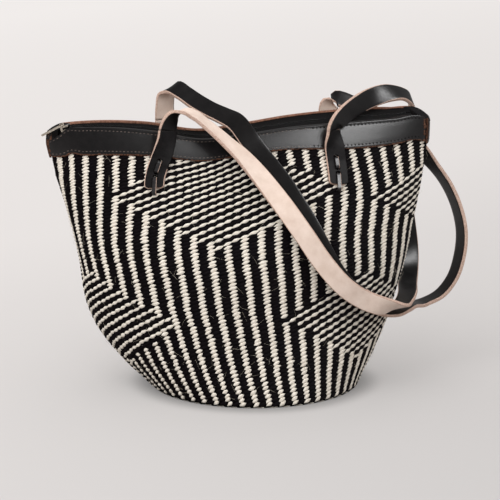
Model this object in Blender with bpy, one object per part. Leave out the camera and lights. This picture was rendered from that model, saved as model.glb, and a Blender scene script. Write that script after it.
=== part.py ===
"""Woven sisal basket with a zipped mouth, leather rim bands and two leather strap handles."""
import bmesh
import bpy
import numpy as np

for old in list(bpy.data.objects):
    bpy.data.objects.remove(old, do_unlink=True)

# Driving dimensions, in metres
HEIGHT = 0.264
BASE_RADIUS = 0.104
MOUTH_LEFT_REACH = 0.203
MOUTH_RIGHT_REACH = 0.172
MOUTH_HALF_WIDTH = 0.029
WALL_THICKNESS = 0.003
FLOOR_THICKNESS = 0.004
BAND_HEIGHT = 0.0245
BAND_INNER_HEIGHT = 0.014
BAND_LEATHER = 0.0018
STRAP_WIDTH = 0.0195
STRAP_THICKNESS = 0.0036
STRAP_END_HEIGHT = 0.054
TAPE_THICKNESS = 0.0008
TAPE_RECESS = 0.002
COIL_RADIUS = 0.0011
SLIDER_LENGTH = 0.008
SLIDER_WIDTH = 0.006
SLIDER_PLATE = 0.001
PULL_LENGTH = 0.023
PULL_WIDTH = 0.005
PULL_THICKNESS = 0.0012
LACE_WIDTH = 0.004
LACE_THICKNESS = 0.0016
LACE_HOLE_RADIUS = 0.0025
TOUCH_GAP = 0.0003

# Derived sizes
MOUTH_LENGTH = MOUTH_LEFT_REACH + MOUTH_RIGHT_REACH
WALL_LEAN_SHARE = 7 / 6
END_GROWTH_SHARE = 4 / 3
HORIZONTAL_WALL = WALL_THICKNESS * WALL_LEAN_SHARE
BAND_OUT = TOUCH_GAP + BAND_LEATHER
BAND_IN = HORIZONTAL_WALL + TOUCH_GAP + BAND_LEATHER
ROUND_SIDES = 6
SOLVE_ROUNDS = 6

# The wall's outline at each level: shares of the height, and of the way from the
# base radius out to the mouth's reach or in to the mouth's half width
LEVEL_SHARES = (0.0, 0.04, 0.10, 0.16, 0.23, 0.35, 0.51, 0.63, 0.78, 0.90, 1.0)
LEFT_SHARES = (0.0, 0.10, 0.26, 0.39, 0.52, 0.65, 0.71, 0.77, 0.87, 0.95, 1.0)
RIGHT_SHARES = (0.0, 0.07, 0.19, 0.30, 0.41, 0.56, 0.73, 0.82, 0.93, 0.985, 1.0)
DEPTH_SHARES = (0.0, 0.02, 0.08, 0.12, 0.16, 0.19, 0.213, 0.32, 0.56, 0.825, 1.0)
FRONT_LEFT_POWERS = (0.5, 0.5, 0.5, 0.5, 0.5, 0.5, 0.5, 0.52, 0.55, 0.58, 0.6)
REAR_LEFT_POWERS = (0.5, 0.5, 0.5, 0.5, 0.5, 0.5, 0.5, 0.5, 0.5, 0.5, 0.5)
RIGHT_POWERS = (0.5, 0.5, 0.5, 0.5, 0.5, 0.52, 0.55, 0.6, 0.6, 0.6, 0.6)

# The rim's height along the mouth from left to right, as shares of the height
RIM_PLACE_SHARES = (0.0, 0.019, 0.035, 0.051, 0.088, 0.141, 0.261,
                    0.397, 0.515, 0.635, 0.768, 0.901, 0.981, 1.0)
FRONT_RIM_SHARES = (0.936, 0.951, 0.968, 0.989, 0.996, 0.998, 0.987,
                    0.956, 0.973, 0.996, 1.008, 1.017, 1.019, 1.004)
REAR_RIM_SHARES = (0.973, 0.989, 0.998, 1.0, 1.002, 1.002, 0.991,
                   0.960, 0.981, 1.009, 1.030, 1.042, 1.036, 1.015)
LEFT_MERGE_SHARE = 0.08
RIGHT_MERGE_SHARE = 0.055

# Strap routes: the middle line as shares of the mouth's length, the base radius and
# the height, then the direction across the strap
FRONT_ROUTE_SHARES = (
    (-0.233, -0.356, 0.995, -0.85, -0.45, 0),
    (-0.226, -0.356, 1.030, -0.75, -0.6, 0),
    (-0.210, -0.346, 1.057, -0.65, -0.75, 0),
    (-0.187, -0.346, 1.064, -0.5, -0.85, 0),
    (-0.163, -0.346, 1.051, -0.35, -0.93, -0.1),
    (-0.133, -0.365, 1.019, -0.35, -0.93, -0.1),
    (-0.101, -0.423, 0.983, -0.4, -0.9, -0.15),
    (-0.075, -0.471, 0.951, -0.45, -0.87, -0.2),
    (-0.047, -0.529, 0.917, -0.55, -0.78, -0.3),
    (-0.020, -0.587, 0.877, -0.65, -0.65, -0.4),
    (0.007, -0.654, 0.833, -0.75, -0.5, -0.45),
    (0.033, -0.731, 0.788, -0.8, -0.35, -0.5),
    (0.069, -0.846, 0.723, -0.8, -0.15, -0.6),
    (0.111, -0.942, 0.640, -0.78, 0, -0.62),
    (0.159, -0.990, 0.540, -0.78, 0, -0.62),
    (0.219, -0.995, 0.445, -0.75, 0, -0.65),
    (0.267, -0.952, 0.398, -0.62, 0, -0.78),
    (0.310, -0.923, 0.373, -0.65, 0.1, -0.75),
    (0.352, -0.817, 0.357, -0.9, 0.14, -0.28),
    (0.383, -0.519, 0.349, -0.97, 0.1, -0.14),
    (0.406, -0.183, 0.352, -1, 0.1, -0.14),
    (0.419, 0.154, 0.359, -1, 0.1, 0),
    (0.431, 0.404, 0.392, -1, 0, 0),
    (0.435, 0.500, 0.455, -0.95, -0.2, 0),
    (0.432, 0.529, 0.538, -0.85, -0.5, 0),
    (0.428, 0.534, 0.625, -0.65, -0.75, 0),
    (0.427, 0.529, 0.720, -0.35, -0.94, 0),
    (0.428, 0.500, 0.841, 0.05, -1, -0.1),
    (0.433, 0.442, 0.947, 0.3, -0.93, -0.2),
    (0.433, 0.365, 1.027, 0.2, -0.9, -0.35),
    (0.421, 0.298, 1.066, 0, -0.9, -0.4),
    (0.397, 0.240, 1.087, -0.1, -0.9, -0.35),
    (0.363, 0.163, 1.095, 0.2, -0.65, -0.7),
    (0.317, 0.058, 1.087, 0.25, -0.25, -0.9),
    (0.268, -0.135, 1.069, 0.26, 0.05, -0.96),
    (0.228, -0.308, 1.043, 0.33, 0.3, -0.88),
    (0.206, -0.370, 1.020, 0.52, 0.67, -0.42),
    (0.200, -0.365, 1.004, 0.6, 0.75, -0.08),
    (0.199, -0.356, 0.991, 0.6, 0.75, 0),
)
REAR_ROUTE_SHARES = (
    (-0.233, 0.346, 0.991, 1, 0.15, 0),
    (-0.233, 0.346, 1.045, 0.87, 0.4, 0.1),
    (-0.227, 0.322, 1.097, 0.85, 0.35, 0.4),
    (-0.210, 0.264, 1.117, 0.8, 0.4, 0.45),
    (-0.184, 0.192, 1.100, 0.7, 0.55, 0.4),
    (-0.155, 0.125, 1.074, 0.6, 0.6, 0.5),
    (-0.120, 0.029, 1.049, 0.6, 0.6, 0.5),
    (-0.085, -0.096, 1.032, 0.62, 0.55, 0.55),
    (-0.053, -0.240, 1.015, 0.7, 0.3, 0.64),
    (-0.021, -0.385, 0.960, 0.75, 0.15, 0.64),
    (0.011, -0.442, 0.898, 0.8, 0, 0.6),
    (0.037, -0.519, 0.854, 0.8, 0, 0.6),
    (0.061, -0.587, 0.811, 0.8, 0, 0.6),
    (0.091, -0.688, 0.746, 0.85, 0, 0.52),
    (0.121, -0.769, 0.678, 0.86, 0, 0.5),
    (0.149, -0.827, 0.604, 0.86, 0, 0.5),
    (0.183, -0.837, 0.515, 0.8, 0, 0.6),
    (0.221, -0.784, 0.439, 0.75, 0.05, 0.65),
    (0.272, -0.663, 0.377, 0.5, 0.35, 0.75),
    (0.325, -0.538, 0.328, 0, 0.8, 0.55),
    (0.357, -0.433, 0.307, -0.15, 0.95, 0.2),
    (0.389, -0.260, 0.297, -0.25, 0.95, 0),
    (0.419, -0.067, 0.294, -0.3, 0.95, 0),
    (0.459, 0.087, 0.286, -0.3, 0.95, 0),
    (0.507, 0.149, 0.313, -0.32, 0.95, 0),
    (0.541, 0.178, 0.371, -0.34, 0.94, -0.05),
    (0.561, 0.202, 0.455, -0.36, 0.93, -0.05),
    (0.567, 0.231, 0.549, -0.36, 0.93, -0.05),
    (0.555, 0.269, 0.638, -0.38, 0.92, 0),
    (0.528, 0.308, 0.727, -0.4, 0.9, -0.1),
    (0.485, 0.317, 0.811, -0.42, 0.85, -0.3),
    (0.429, 0.284, 0.894, -0.6, 0.3, -0.7),
    (0.371, 0.298, 0.968, -0.6, -0.2, -0.75),
    (0.317, 0.356, 1.008, -0.35, -0.6, -0.7),
    (0.275, 0.360, 1.040, -0.2, -0.75, -0.6),
    (0.243, 0.356, 1.059, -0.25, -0.75, -0.6),
    (0.222, 0.356, 1.063, -0.6, -0.6, -0.5),
    (0.209, 0.351, 1.048, -0.85, -0.4, -0.3),
    (0.205, 0.346, 1.022, -1, -0.1, 0),
    (0.205, 0.346, 0.991, -1, 0, 0),
)


def material(name, colour, roughness, metallic=0.0):
    """A plain surface of one colour."""
    made = bpy.data.materials.new(name)
    made.use_nodes = True
    shader = made.node_tree.nodes["Principled BSDF"]
    shader.inputs["Base Color"].default_value = (*colour, 1)
    shader.inputs["Roughness"].default_value = roughness
    shader.inputs["Metallic"].default_value = metallic
    return made


SISAL = material("sisal", (0.45, 0.41, 0.34), 0.9)
BLACK_LEATHER = material("black_leather", (0.02, 0.02, 0.022), 0.4)
STRAP_LEATHER = material("strap_leather", (0.025, 0.022, 0.022), 0.35)
TAPE_CLOTH = material("tape_cloth", (0.015, 0.015, 0.016), 0.9)
COIL_PLASTIC = material("coil_plastic", (0.02, 0.02, 0.022), 0.5)
PULL_METAL = material("pull_metal", (0.62, 0.57, 0.50), 0.4, 1.0)


def add_body(name, points, faces, look, smooth=False, origin=(0, 0, 0)):
    """One closed body from its points and faces, with its origin where asked."""
    mesh = bpy.data.meshes.new(name)
    shifted = np.asarray(points, float) - np.asarray(origin, float)
    corners = [tuple(map(float, p)) for p in shifted]
    mesh.from_pydata(corners, [], [tuple(map(int, face)) for face in faces])
    mesh.validate()
    mesh.materials.append(look)
    mesh.polygons.foreach_set("use_smooth", [smooth] * len(mesh.polygons))
    made = bpy.data.objects.new(name, mesh)
    made.location = origin
    bpy.context.scene.collection.objects.link(made)
    return made


def smooth_between(places, values, at):
    """A smooth curve through a table: cubic pieces whose slopes follow the neighbours."""
    places, values = np.asarray(places, float), np.asarray(values, float)
    at = np.clip(np.asarray(at, float), places[0], places[-1])
    slopes = np.gradient(values, places, axis=0)
    left = np.clip(np.searchsorted(places, at, side="right") - 1, 0, len(places) - 2)
    span = places[left + 1] - places[left]
    t = (at - places[left]) / span
    if values.ndim > 1:
        t, span = t[..., None], span[..., None]
    return ((2 * t**3 - 3 * t**2 + 1) * values[left] + (t**3 - 2 * t**2 + t) * span * slopes[left]
            + (3 * t**2 - 2 * t**3) * values[left + 1] + (t**3 - t**2) * span * slopes[left + 1])


def ease(share):
    """A smooth step from 0 to 1."""
    share = np.clip(share, 0, 1)
    return share * share * (3 - 2 * share)


def level_sizes(v):
    """Left reach, right reach and half depth of the wall at a share of its height."""
    left = BASE_RADIUS + (MOUTH_LEFT_REACH - BASE_RADIUS) * smooth_between(LEVEL_SHARES, LEFT_SHARES, v)
    right = BASE_RADIUS + (MOUTH_RIGHT_REACH - BASE_RADIUS) * smooth_between(LEVEL_SHARES, RIGHT_SHARES, v)
    depth = BASE_RADIUS + (MOUTH_HALF_WIDTH - BASE_RADIUS) * smooth_between(LEVEL_SHARES, DEPTH_SHARES, v)
    return left, right, depth


def end_power(v, c, rear):
    """How blunt the outline is: 0.5 is an ellipse, more is sharper; c runs -1 left to 1 right."""
    front_left = smooth_between(LEVEL_SHARES, FRONT_LEFT_POWERS, v)
    rear_left = smooth_between(LEVEL_SHARES, REAR_LEFT_POWERS, v)
    right = smooth_between(LEVEL_SHARES, RIGHT_POWERS, v)
    return np.where(rear, rear_left, front_left) * (1 - c) / 2 + right * (1 + c) / 2


def outline(theta, v, out=0.0):
    """x and y of the wall: x = xc + A cos(theta), y = D |sin(theta)|^(2k), grown by `out`."""
    left, right, depth = level_sizes(v)
    left = left + out * END_GROWTH_SHARE
    right = right + out * END_GROWTH_SHARE
    depth = depth + out
    c, s = np.cos(theta), np.sin(theta)
    k = end_power(v, c, s > 0)
    x = (right - left) / 2 + (right + left) / 2 * c
    return x, depth * np.sign(s) * np.abs(s) ** (2 * k)


def rim_height(x, rear):
    """Height of a rim band's top edge above the base."""
    place = (np.asarray(x, float) + MOUTH_LEFT_REACH) / MOUTH_LENGTH
    return HEIGHT * smooth_between(RIM_PLACE_SHARES, REAR_RIM_SHARES if rear else FRONT_RIM_SHARES, place)


def wall_height(x, rear):
    """Height of the weave's top edge, the two sides meeting at the corners."""
    place = (np.asarray(x, float) + MOUTH_LEFT_REACH) / MOUTH_LENGTH
    share = ease(place / LEFT_MERGE_SHARE) * ease((1 - place) / RIGHT_MERGE_SHARE)
    front, back = rim_height(x, False), rim_height(x, True)
    return front + np.where(rear, (back - front) * share, 0) - BAND_OUT


def surface_y(x, z, rear, out=0.0):
    """y of the wall's outside at a place across and a height."""
    top_x = x
    for _ in range(SOLVE_ROUNDS):
        v = np.clip(z / wall_height(top_x, rear), 0, 1)
        left, right, depth = level_sizes(v)
        c = np.clip((x - (right - left) / 2) / ((right + left) / 2), -1, 1)
        top_x = (MOUTH_RIGHT_REACH - MOUTH_LEFT_REACH) / 2 + MOUTH_LENGTH / 2 * c
    y = (depth + out) * (1 - c * c) ** end_power(v, c, rear)
    return y if rear else -y


def loft(rings, closed_ring=True):
    """Points and quad faces between rings of equal count, the first and last left open."""
    rings = np.asarray(rings, float)
    count, sides = rings.shape[:2]
    faces = []
    for i in range(count - 1):
        for j in range(sides if closed_ring else sides - 1):
            k = (j + 1) % sides
            faces.append((i * sides + j, i * sides + k, (i + 1) * sides + k, (i + 1) * sides + j))
    return rings.reshape(-1, 3), faces


def capped(rings):
    """A closed bar: rings joined and its two flat ends filled."""
    points, faces = loft(rings)
    sides = len(rings[0])
    last = len(points) - sides
    faces.append(tuple(range(sides - 1, -1, -1)))
    faces.append(tuple(range(last, last + sides)))
    return points, faces


# The woven basket: outside from the base up, over the rim, and down the inside
AROUND = 96
theta_ring = np.linspace(0, 2 * np.pi, AROUND, endpoint=False)
rear_ring = np.sin(theta_ring) > 0
outer_level_shares = (0.025, 0.06, 0.1, 0.16, 0.23, 0.3, 0.37, 0.44, 0.51, 0.58, 0.64, 0.70, 0.76, 0.82,
                      0.86, 0.89, 0.915, 0.94, 0.97, 1.0)
inner_level_shares = (1.0, 0.98, 0.96, 0.94, 0.915, 0.88, 0.82, 0.74, 0.64, 0.51, 0.37, 0.23, 0.1, 0.04)


def wall_ring(v, out=0.0, z=None):
    """One ring of the wall at a share of its height, or at a height given."""
    x, y = outline(theta_ring, np.full(AROUND, v), out)
    top_x, _ = outline(theta_ring, np.ones(AROUND))
    height = np.where(rear_ring, wall_height(top_x, True), wall_height(top_x, False))
    return np.stack([x, y, height * v if z is None else np.full(AROUND, z)], 1)


edge_share = 0.97
edge_height_share = 0.008
basket_rings = [wall_ring(0.0, -BASE_RADIUS * (1 - edge_share), 0.0)]
basket_rings += [wall_ring(0.0, 0.0, HEIGHT * edge_height_share)]
basket_rings += [wall_ring(v) for v in outer_level_shares]
basket_rings += [wall_ring(v, -HORIZONTAL_WALL) for v in inner_level_shares]
basket_rings += [wall_ring(0.0, -HORIZONTAL_WALL * 2, FLOOR_THICKNESS)]
points, faces = loft(basket_rings)
points = np.vstack([points, [(0, 0, 0), (0, 0, FLOOR_THICKNESS)]])
bottom_centre, floor_centre = len(points) - 2, len(points) - 1
last_ring = (len(basket_rings) - 1) * AROUND
for j in range(AROUND):
    k = (j + 1) % AROUND
    faces.append((bottom_centre, k, j))
    faces.append((floor_centre, last_ring + j, last_ring + k))
basket = add_body("woven_basket", points, faces, SISAL, smooth=True)

# The rim bands: leather folded over the weave's top edge
corner_turn_share = 0.02 / np.pi
corner_angle = corner_turn_share * np.pi
leaf_shares = (0.0, 1 / 3, 2 / 3, 1.0)


def band_rings(rear):
    """Rings along a band; each goes up the outside, over the fold and back round the weave."""
    between = theta_ring[1:AROUND // 2]
    turn = np.r_[corner_angle, between, np.pi - corner_angle]
    theta = turn if rear else turn + np.pi
    x_mid, _ = outline(theta, np.ones(len(theta)))
    top = rim_height(x_mid, rear)
    woven = wall_height(x_mid, rear)
    low_out, low_in = top - BAND_HEIGHT, top - BAND_INNER_HEIGHT
    under_fold = top - BAND_LEATHER
    rows = [(BAND_OUT, low_out + (top - low_out) * share) for share in leaf_shares]
    rows += [(-BAND_IN, top + (low_in - top) * share) for share in leaf_shares]
    rows += [(BAND_LEATHER - BAND_IN, low_in + (under_fold - low_in) * share) for share in leaf_shares]
    rows += [(TOUCH_GAP, under_fold + (low_out - under_fold) * share) for share in leaf_shares]
    corners = []
    for out, z in rows:
        x, y = outline(theta, np.clip(z / woven, 0, 1), out)
        corners.append(np.stack([x, y, z], 1))
    return np.stack(corners, 1)


def add_band(name, rear):
    """One band, its two ends closed by a strip of faces each."""
    rings = band_rings(rear)
    points, faces = loft(rings)
    last = (len(rings) - 1) * len(rings[0])
    for first, flip in ((0, False), (last, True)):
        for quad in ((0, 1, 14, 15), (1, 2, 13, 14), (2, 3, 12, 13), (3, 4, 11, 12),
                     (4, 5, 10, 11), (5, 6, 9, 10), (6, 7, 8, 9)):
            face = tuple(first + q for q in quad)
            faces.append(face[::-1] if not flip else face)
    return add_body(name, points, faces, BLACK_LEATHER)


front_band = add_band("front_rim_band", False)
rear_band = add_band("rear_rim_band", True)

# The closed zip: two cloth tapes and two coils, just under the rim's top
TAPE_STEPS = 40
tape_left_share, tape_right_share = 0.0545, 0.955
coil_left_share, coil_right_share = 0.0541, 0.945
coil_middle = TOUCH_GAP + COIL_RADIUS
tape_inner_edge = coil_middle + COIL_RADIUS + TOUCH_GAP


def zip_height(x):
    """Height of the zip's middle line, between the two rims and a little under them."""
    return (rim_height(x, False) + rim_height(x, True)) / 2 - TAPE_RECESS


def mouth_y(x, rear):
    """y of a band's inner face near its top."""
    left, right, depth = level_sizes(1.0)
    left = left - BAND_IN * END_GROWTH_SHARE
    right = right - BAND_IN * END_GROWTH_SHARE
    depth = depth - BAND_IN
    c = np.clip((x - (right - left) / 2) / ((right + left) / 2), -1, 1)
    return depth * (1 - c * c) ** end_power(1.0, c, rear)


def add_tape(name, rear):
    """One zip tape, from beside its coil out to the band."""
    side = 1 if rear else -1
    x = MOUTH_LENGTH * np.linspace(tape_left_share, tape_right_share, TAPE_STEPS) - MOUTH_LEFT_REACH
    outer = np.maximum(mouth_y(x, rear) - TOUCH_GAP, tape_inner_edge + TAPE_THICKNESS)
    z_inner, z_outer = zip_height(x), rim_height(x, rear) - TAPE_RECESS
    half = TAPE_THICKNESS / 2
    inner = np.full(TAPE_STEPS, tape_inner_edge)
    corners = [np.stack([x, side * y, z], 1) for y, z in (
        (inner, z_inner - half), (outer, z_outer - half), (outer, z_outer + half), (inner, z_inner + half))]
    points, faces = capped(np.stack(corners, 1))
    if not rear:
        faces = [face[::-1] for face in faces]
    return add_body(name, points, faces, TAPE_CLOTH)


def add_coil(name, side):
    """One zip coil as a plain rod."""
    x = MOUTH_LENGTH * np.linspace(coil_left_share, coil_right_share, TAPE_STEPS) - MOUTH_LEFT_REACH
    z = zip_height(x)
    rings = []
    for turn in np.arange(ROUND_SIDES) * 2 * np.pi / ROUND_SIDES:
        rings.append(np.stack([x, side * coil_middle + COIL_RADIUS * np.cos(turn) + x * 0,
                               z + COIL_RADIUS * np.sin(turn)], 1))
    points, faces = capped(np.stack(rings, 1))
    return add_body(name, points, faces, COIL_PLASTIC, smooth=True)


front_tape = add_tape("front_zip_tape", False)
rear_tape = add_tape("rear_zip_tape", True)
front_coil = add_coil("front_zip_coil", -1)
rear_coil = add_coil("rear_zip_coil", 1)


def extrude(outline_points, half_width, place, axes):
    """A bar: a flat outline drawn in two axes and carried half a width each way along a third."""
    along, up, across = (np.asarray(a, float) for a in axes)
    flat = [np.asarray(place, float) + a * along + b * up for a, b in outline_points]
    rings = [[p - half_width * across for p in flat], [p + half_width * across for p in flat]]
    return capped(rings)


# The slider at the left corner, open to the right where the coils go in
slider_lean = np.radians(15)
slider_along = np.array((np.cos(slider_lean), 0, np.sin(slider_lean)))
coil_start = np.array((coil_left_share * MOUTH_LENGTH - MOUTH_LEFT_REACH, 0, 0))
coil_start[2] = zip_height(coil_start[0])
slider_clear_share = 0.75
slider_place = coil_start - slider_along * (SLIDER_LENGTH / 2 + SLIDER_PLATE * slider_clear_share)
slider_up = np.array((-np.sin(slider_lean), 0, np.cos(slider_lean)))
slider_across = np.array((0, 1, 0))
inner_half = COIL_RADIUS + TOUCH_GAP
outer_half = inner_half + SLIDER_PLATE
half_length = SLIDER_LENGTH / 2
post_end = -half_length + SLIDER_LENGTH / 4
slider_outline = ((-half_length, -outer_half), (half_length, -outer_half), (half_length, -inner_half),
                  (post_end, -inner_half), (post_end, inner_half), (half_length, inner_half),
                  (half_length, outer_half), (-half_length, outer_half))
slider_half = SLIDER_WIDTH / 2
points, faces = loft([[slider_place + a * slider_along + b * slider_up - side * slider_half * slider_across
                       for a, b in slider_outline] for side in (-1, 1)])
for first, flip in ((0, True), (len(slider_outline), False)):
    for quad in ((0, 1, 2, 3), (0, 3, 4, 7), (4, 5, 6, 7)):
        face = tuple(first + q for q in quad)
        faces.append(face if not flip else face[::-1])
slider = add_body("zip_slider", points, faces, PULL_METAL)

# The bridge over the pull's root, joined to the slider's top plate
pull_root_radius = PULL_THICKNESS / 2
pivot_height = outer_half + PULL_THICKNESS + TOUCH_GAP
bridge_inner = pivot_height + pull_root_radius + TOUCH_GAP
bridge_bar_share, bridge_half_share, bridge_room_share = 0.75, 0.667, 2.2
bridge_outer = bridge_inner + PULL_THICKNESS * bridge_bar_share
bridge_half = PULL_THICKNESS * bridge_half_share
bridge_reach_in = pull_root_radius * bridge_room_share
bridge_reach_out = bridge_reach_in + PULL_THICKNESS * bridge_bar_share
pivot_along = -half_length + bridge_reach_out
bridge_outline = [(pivot_along + a, b) for a, b in (
    (-bridge_reach_out, inner_half + SLIDER_PLATE / 2), (-bridge_reach_in, inner_half + SLIDER_PLATE / 2),
    (-bridge_reach_in, bridge_inner), (bridge_reach_in, bridge_inner),
    (bridge_reach_in, inner_half + SLIDER_PLATE / 2), (bridge_reach_out, inner_half + SLIDER_PLATE / 2),
    (bridge_reach_out, bridge_outer), (-bridge_reach_out, bridge_outer))]
points, faces = loft([[slider_place + a * slider_along + b * slider_up - side * bridge_half * slider_across
                       for a, b in bridge_outline] for side in (-1, 1)])
for first, flip in ((0, True), (len(bridge_outline), False)):
    for quad in ((0, 1, 2, 7), (2, 3, 6, 7), (3, 4, 5, 6)):
        face = tuple(first + q for q in quad)
        faces.append(face if not flip else face[::-1])
bridge = add_body("zip_slider_bridge", points, faces, PULL_METAL)
bridge.hide_render = True
bridge.hide_viewport = False
bridge.display_type = "WIRE"


def boolean(target, cutter, operation):
    """Join or cut with the exact solver."""
    step = target.modifiers.new(operation.lower(), "BOOLEAN")
    step.operation = operation
    step.solver = "EXACT"
    step.object = cutter


boolean(slider, bridge, "UNION")

# The pull: a flat tab looped round the root bar under the bridge
pull_slope = np.radians(25)
pull_yaw = np.radians(12)
pivot = slider_place + pivot_along * slider_along + pivot_height * slider_up
pull_along = np.array((-np.cos(pull_slope) * np.cos(pull_yaw), -np.cos(pull_slope) * np.sin(pull_yaw),
                       -np.sin(pull_slope)))
pull_across = np.array((-np.sin(pull_yaw), np.cos(pull_yaw), 0))
pull_up = np.cross(pull_along, pull_across)
pull_up = pull_up if pull_up[2] > 0 else -pull_up
loop_clear_share = 2.5
slot_start_share, slot_end_share, slot_half_share, tip_half_share = 0.66, 0.88, 0.2, 0.36
loop_inner = bridge_half + TOUCH_GAP * loop_clear_share
loop_outer = PULL_WIDTH / 2
loop_end = bridge_reach_out + PULL_THICKNESS * 2
slot_start, slot_end = PULL_LENGTH * slot_start_share, PULL_LENGTH * slot_end_share
slot_half = PULL_WIDTH * slot_half_share
tip_half = PULL_WIDTH * tip_half_share

# The tab as a grid of cells, some of them left out for the root's loop and the slot
pull_x = (-pull_root_radius, pull_root_radius, loop_end, slot_start, slot_end, PULL_LENGTH - pull_root_radius)
pull_y = (-loop_outer, -loop_inner, -slot_half, slot_half, loop_inner, loop_outer)
left_out = {(1, 1), (1, 2), (1, 3), (3, 2)}
columns, lines = len(pull_x) - 1, len(pull_y) - 1
cells = {(i, j) for i in range(columns) for j in range(lines)} - left_out
grid_index = {}
grid_points = []
for level in (-1, 1):
    for i, a in enumerate(pull_x):
        for j, b in enumerate(pull_y):
            narrow = tip_half / loop_outer if i == columns else 1
            grid_index[(i, j, level)] = len(grid_points)
            grid_points.append(pivot + a * pull_along + b * narrow * pull_across
                               + level * PULL_THICKNESS / 2 * pull_up)
pull_faces = []
for i, j in cells:
    ring = ((i, j), (i + 1, j), (i + 1, j + 1), (i, j + 1))
    pull_faces.append(tuple(grid_index[(a, b, 1)] for a, b in ring))
    pull_faces.append(tuple(grid_index[(a, b, -1)] for a, b in ring[::-1]))
    neighbours = (((i, j - 1), 0, 1), ((i + 1, j), 1, 2), ((i, j + 1), 2, 3), ((i - 1, j), 3, 0))
    for cell, a, b in neighbours:
        if cell not in cells:
            first, second = ring[a], ring[b]
            pull_faces.append((grid_index[(*first, -1)], grid_index[(*second, -1)],
                               grid_index[(*second, 1)], grid_index[(*first, 1)]))
handed = np.dot(np.cross(pull_along, pull_across), pull_up) > 0
pull_faces = pull_faces if handed else [face[::-1] for face in pull_faces]
used = sorted({k for face in pull_faces for k in face})
renumber = {k: n for n, k in enumerate(used)}
pull = add_body("zip_pull", [grid_points[k] for k in used],
                [tuple(renumber[k] for k in face) for face in pull_faces], PULL_METAL, origin=pivot)


FINE_STEPS = 12


def route_frames(places, across, count):
    """Evenly spaced places along a route with the directions along, across and out."""
    places, across = np.asarray(places, float), np.asarray(across, float)
    steps = np.r_[0, np.cumsum(np.linalg.norm(np.diff(places, axis=0), axis=1))]
    fine = np.linspace(0, steps[-1], count * FINE_STEPS)
    line = smooth_between(steps, places, fine)
    wide = smooth_between(steps, across, fine)
    length = np.r_[0, np.cumsum(np.linalg.norm(np.diff(line, axis=0), axis=1))]
    even = np.linspace(0, length[-1], count)
    middle = np.stack([np.interp(even, length, line[:, i]) for i in range(3)], 1)
    wide = np.stack([np.interp(even, length, wide[:, i]) for i in range(3)], 1)
    along = np.gradient(middle, axis=0)
    along /= np.linalg.norm(along, axis=1)[:, None]
    wide -= np.sum(wide * along, 1)[:, None] * along
    wide /= np.linalg.norm(wide, axis=1)[:, None]
    return middle, along, wide, np.cross(wide, along), length[-1]


def strap_rings(middle, wide, out, width, thickness):
    """Rings of a flat strap with eased edges."""
    ease_edge = thickness / 4
    half_w, half_t = width / 2, thickness / 2
    corners = ((-half_w + ease_edge, -half_t), (half_w - ease_edge, -half_t), (half_w, -half_t + ease_edge),
               (half_w, half_t - ease_edge), (half_w - ease_edge, half_t), (-half_w + ease_edge, half_t),
               (-half_w, half_t - ease_edge), (-half_w, -half_t + ease_edge))
    return np.stack([middle + a * wide + b * out for a, b in corners], 1)


ROUTE_SCALE = np.array((MOUTH_LENGTH, BASE_RADIUS, HEIGHT))
HANDLE_STEPS = 96


def add_handle(name, table):
    """One moving strap loop, cut level where it meets its two laced ends."""
    rows = np.array(table, float)
    places = rows[:, :3] * ROUTE_SCALE
    middle, _, wide, out, length = route_frames(places, rows[:, 3:], HANDLE_STEPS)
    rings = strap_rings(middle, wide, out, STRAP_WIDTH, STRAP_THICKNESS)
    rings[0, :, 2] = places[0, 2] + TOUCH_GAP / 2
    rings[-1, :, 2] = places[-1, 2] + TOUCH_GAP / 2
    points, faces = capped(rings)
    print(name, "length in metres", round(length, 4))
    return add_body(name, points, faces, STRAP_LEATHER, smooth=False, origin=places[0])


front_handle = add_handle("front_handle", FRONT_ROUTE_SHARES)
rear_handle = add_handle("rear_handle", REAR_ROUTE_SHARES)

# Strap ends: flat on the wall, over the band and up to where the handle begins
END_STEPS = 26
END_LEVELS = 18
HOLE_SIDES = 12
end_lean_share = 1.2
wall_rest = (STRAP_THICKNESS / 2 + TOUCH_GAP) * end_lean_share
band_lift = BAND_OUT * end_lean_share
band_rest = wall_rest + band_lift
below_end_share = 0.407
hole_shares = (0.51, 0.306, 0.194)
wall_hole_share = -0.111
below_end = STRAP_END_HEIGHT * below_end_share
hole_places = tuple(STRAP_END_HEIGHT * share for share in hole_shares)
wall_hole_place = STRAP_END_HEIGHT * wall_hole_share
climb = STRAP_THICKNESS * 3
strap_end_table = (
    ("front_left", False, FRONT_ROUTE_SHARES[0], -0.270, 1.0),
    ("front_right", False, FRONT_ROUTE_SHARES[-1], 0.209, 0.95),
    ("rear_left", True, REAR_ROUTE_SHARES[0], -0.245, 1.0),
    ("rear_right", True, REAR_ROUTE_SHARES[-1], 0.212, 0.95),
)


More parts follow.
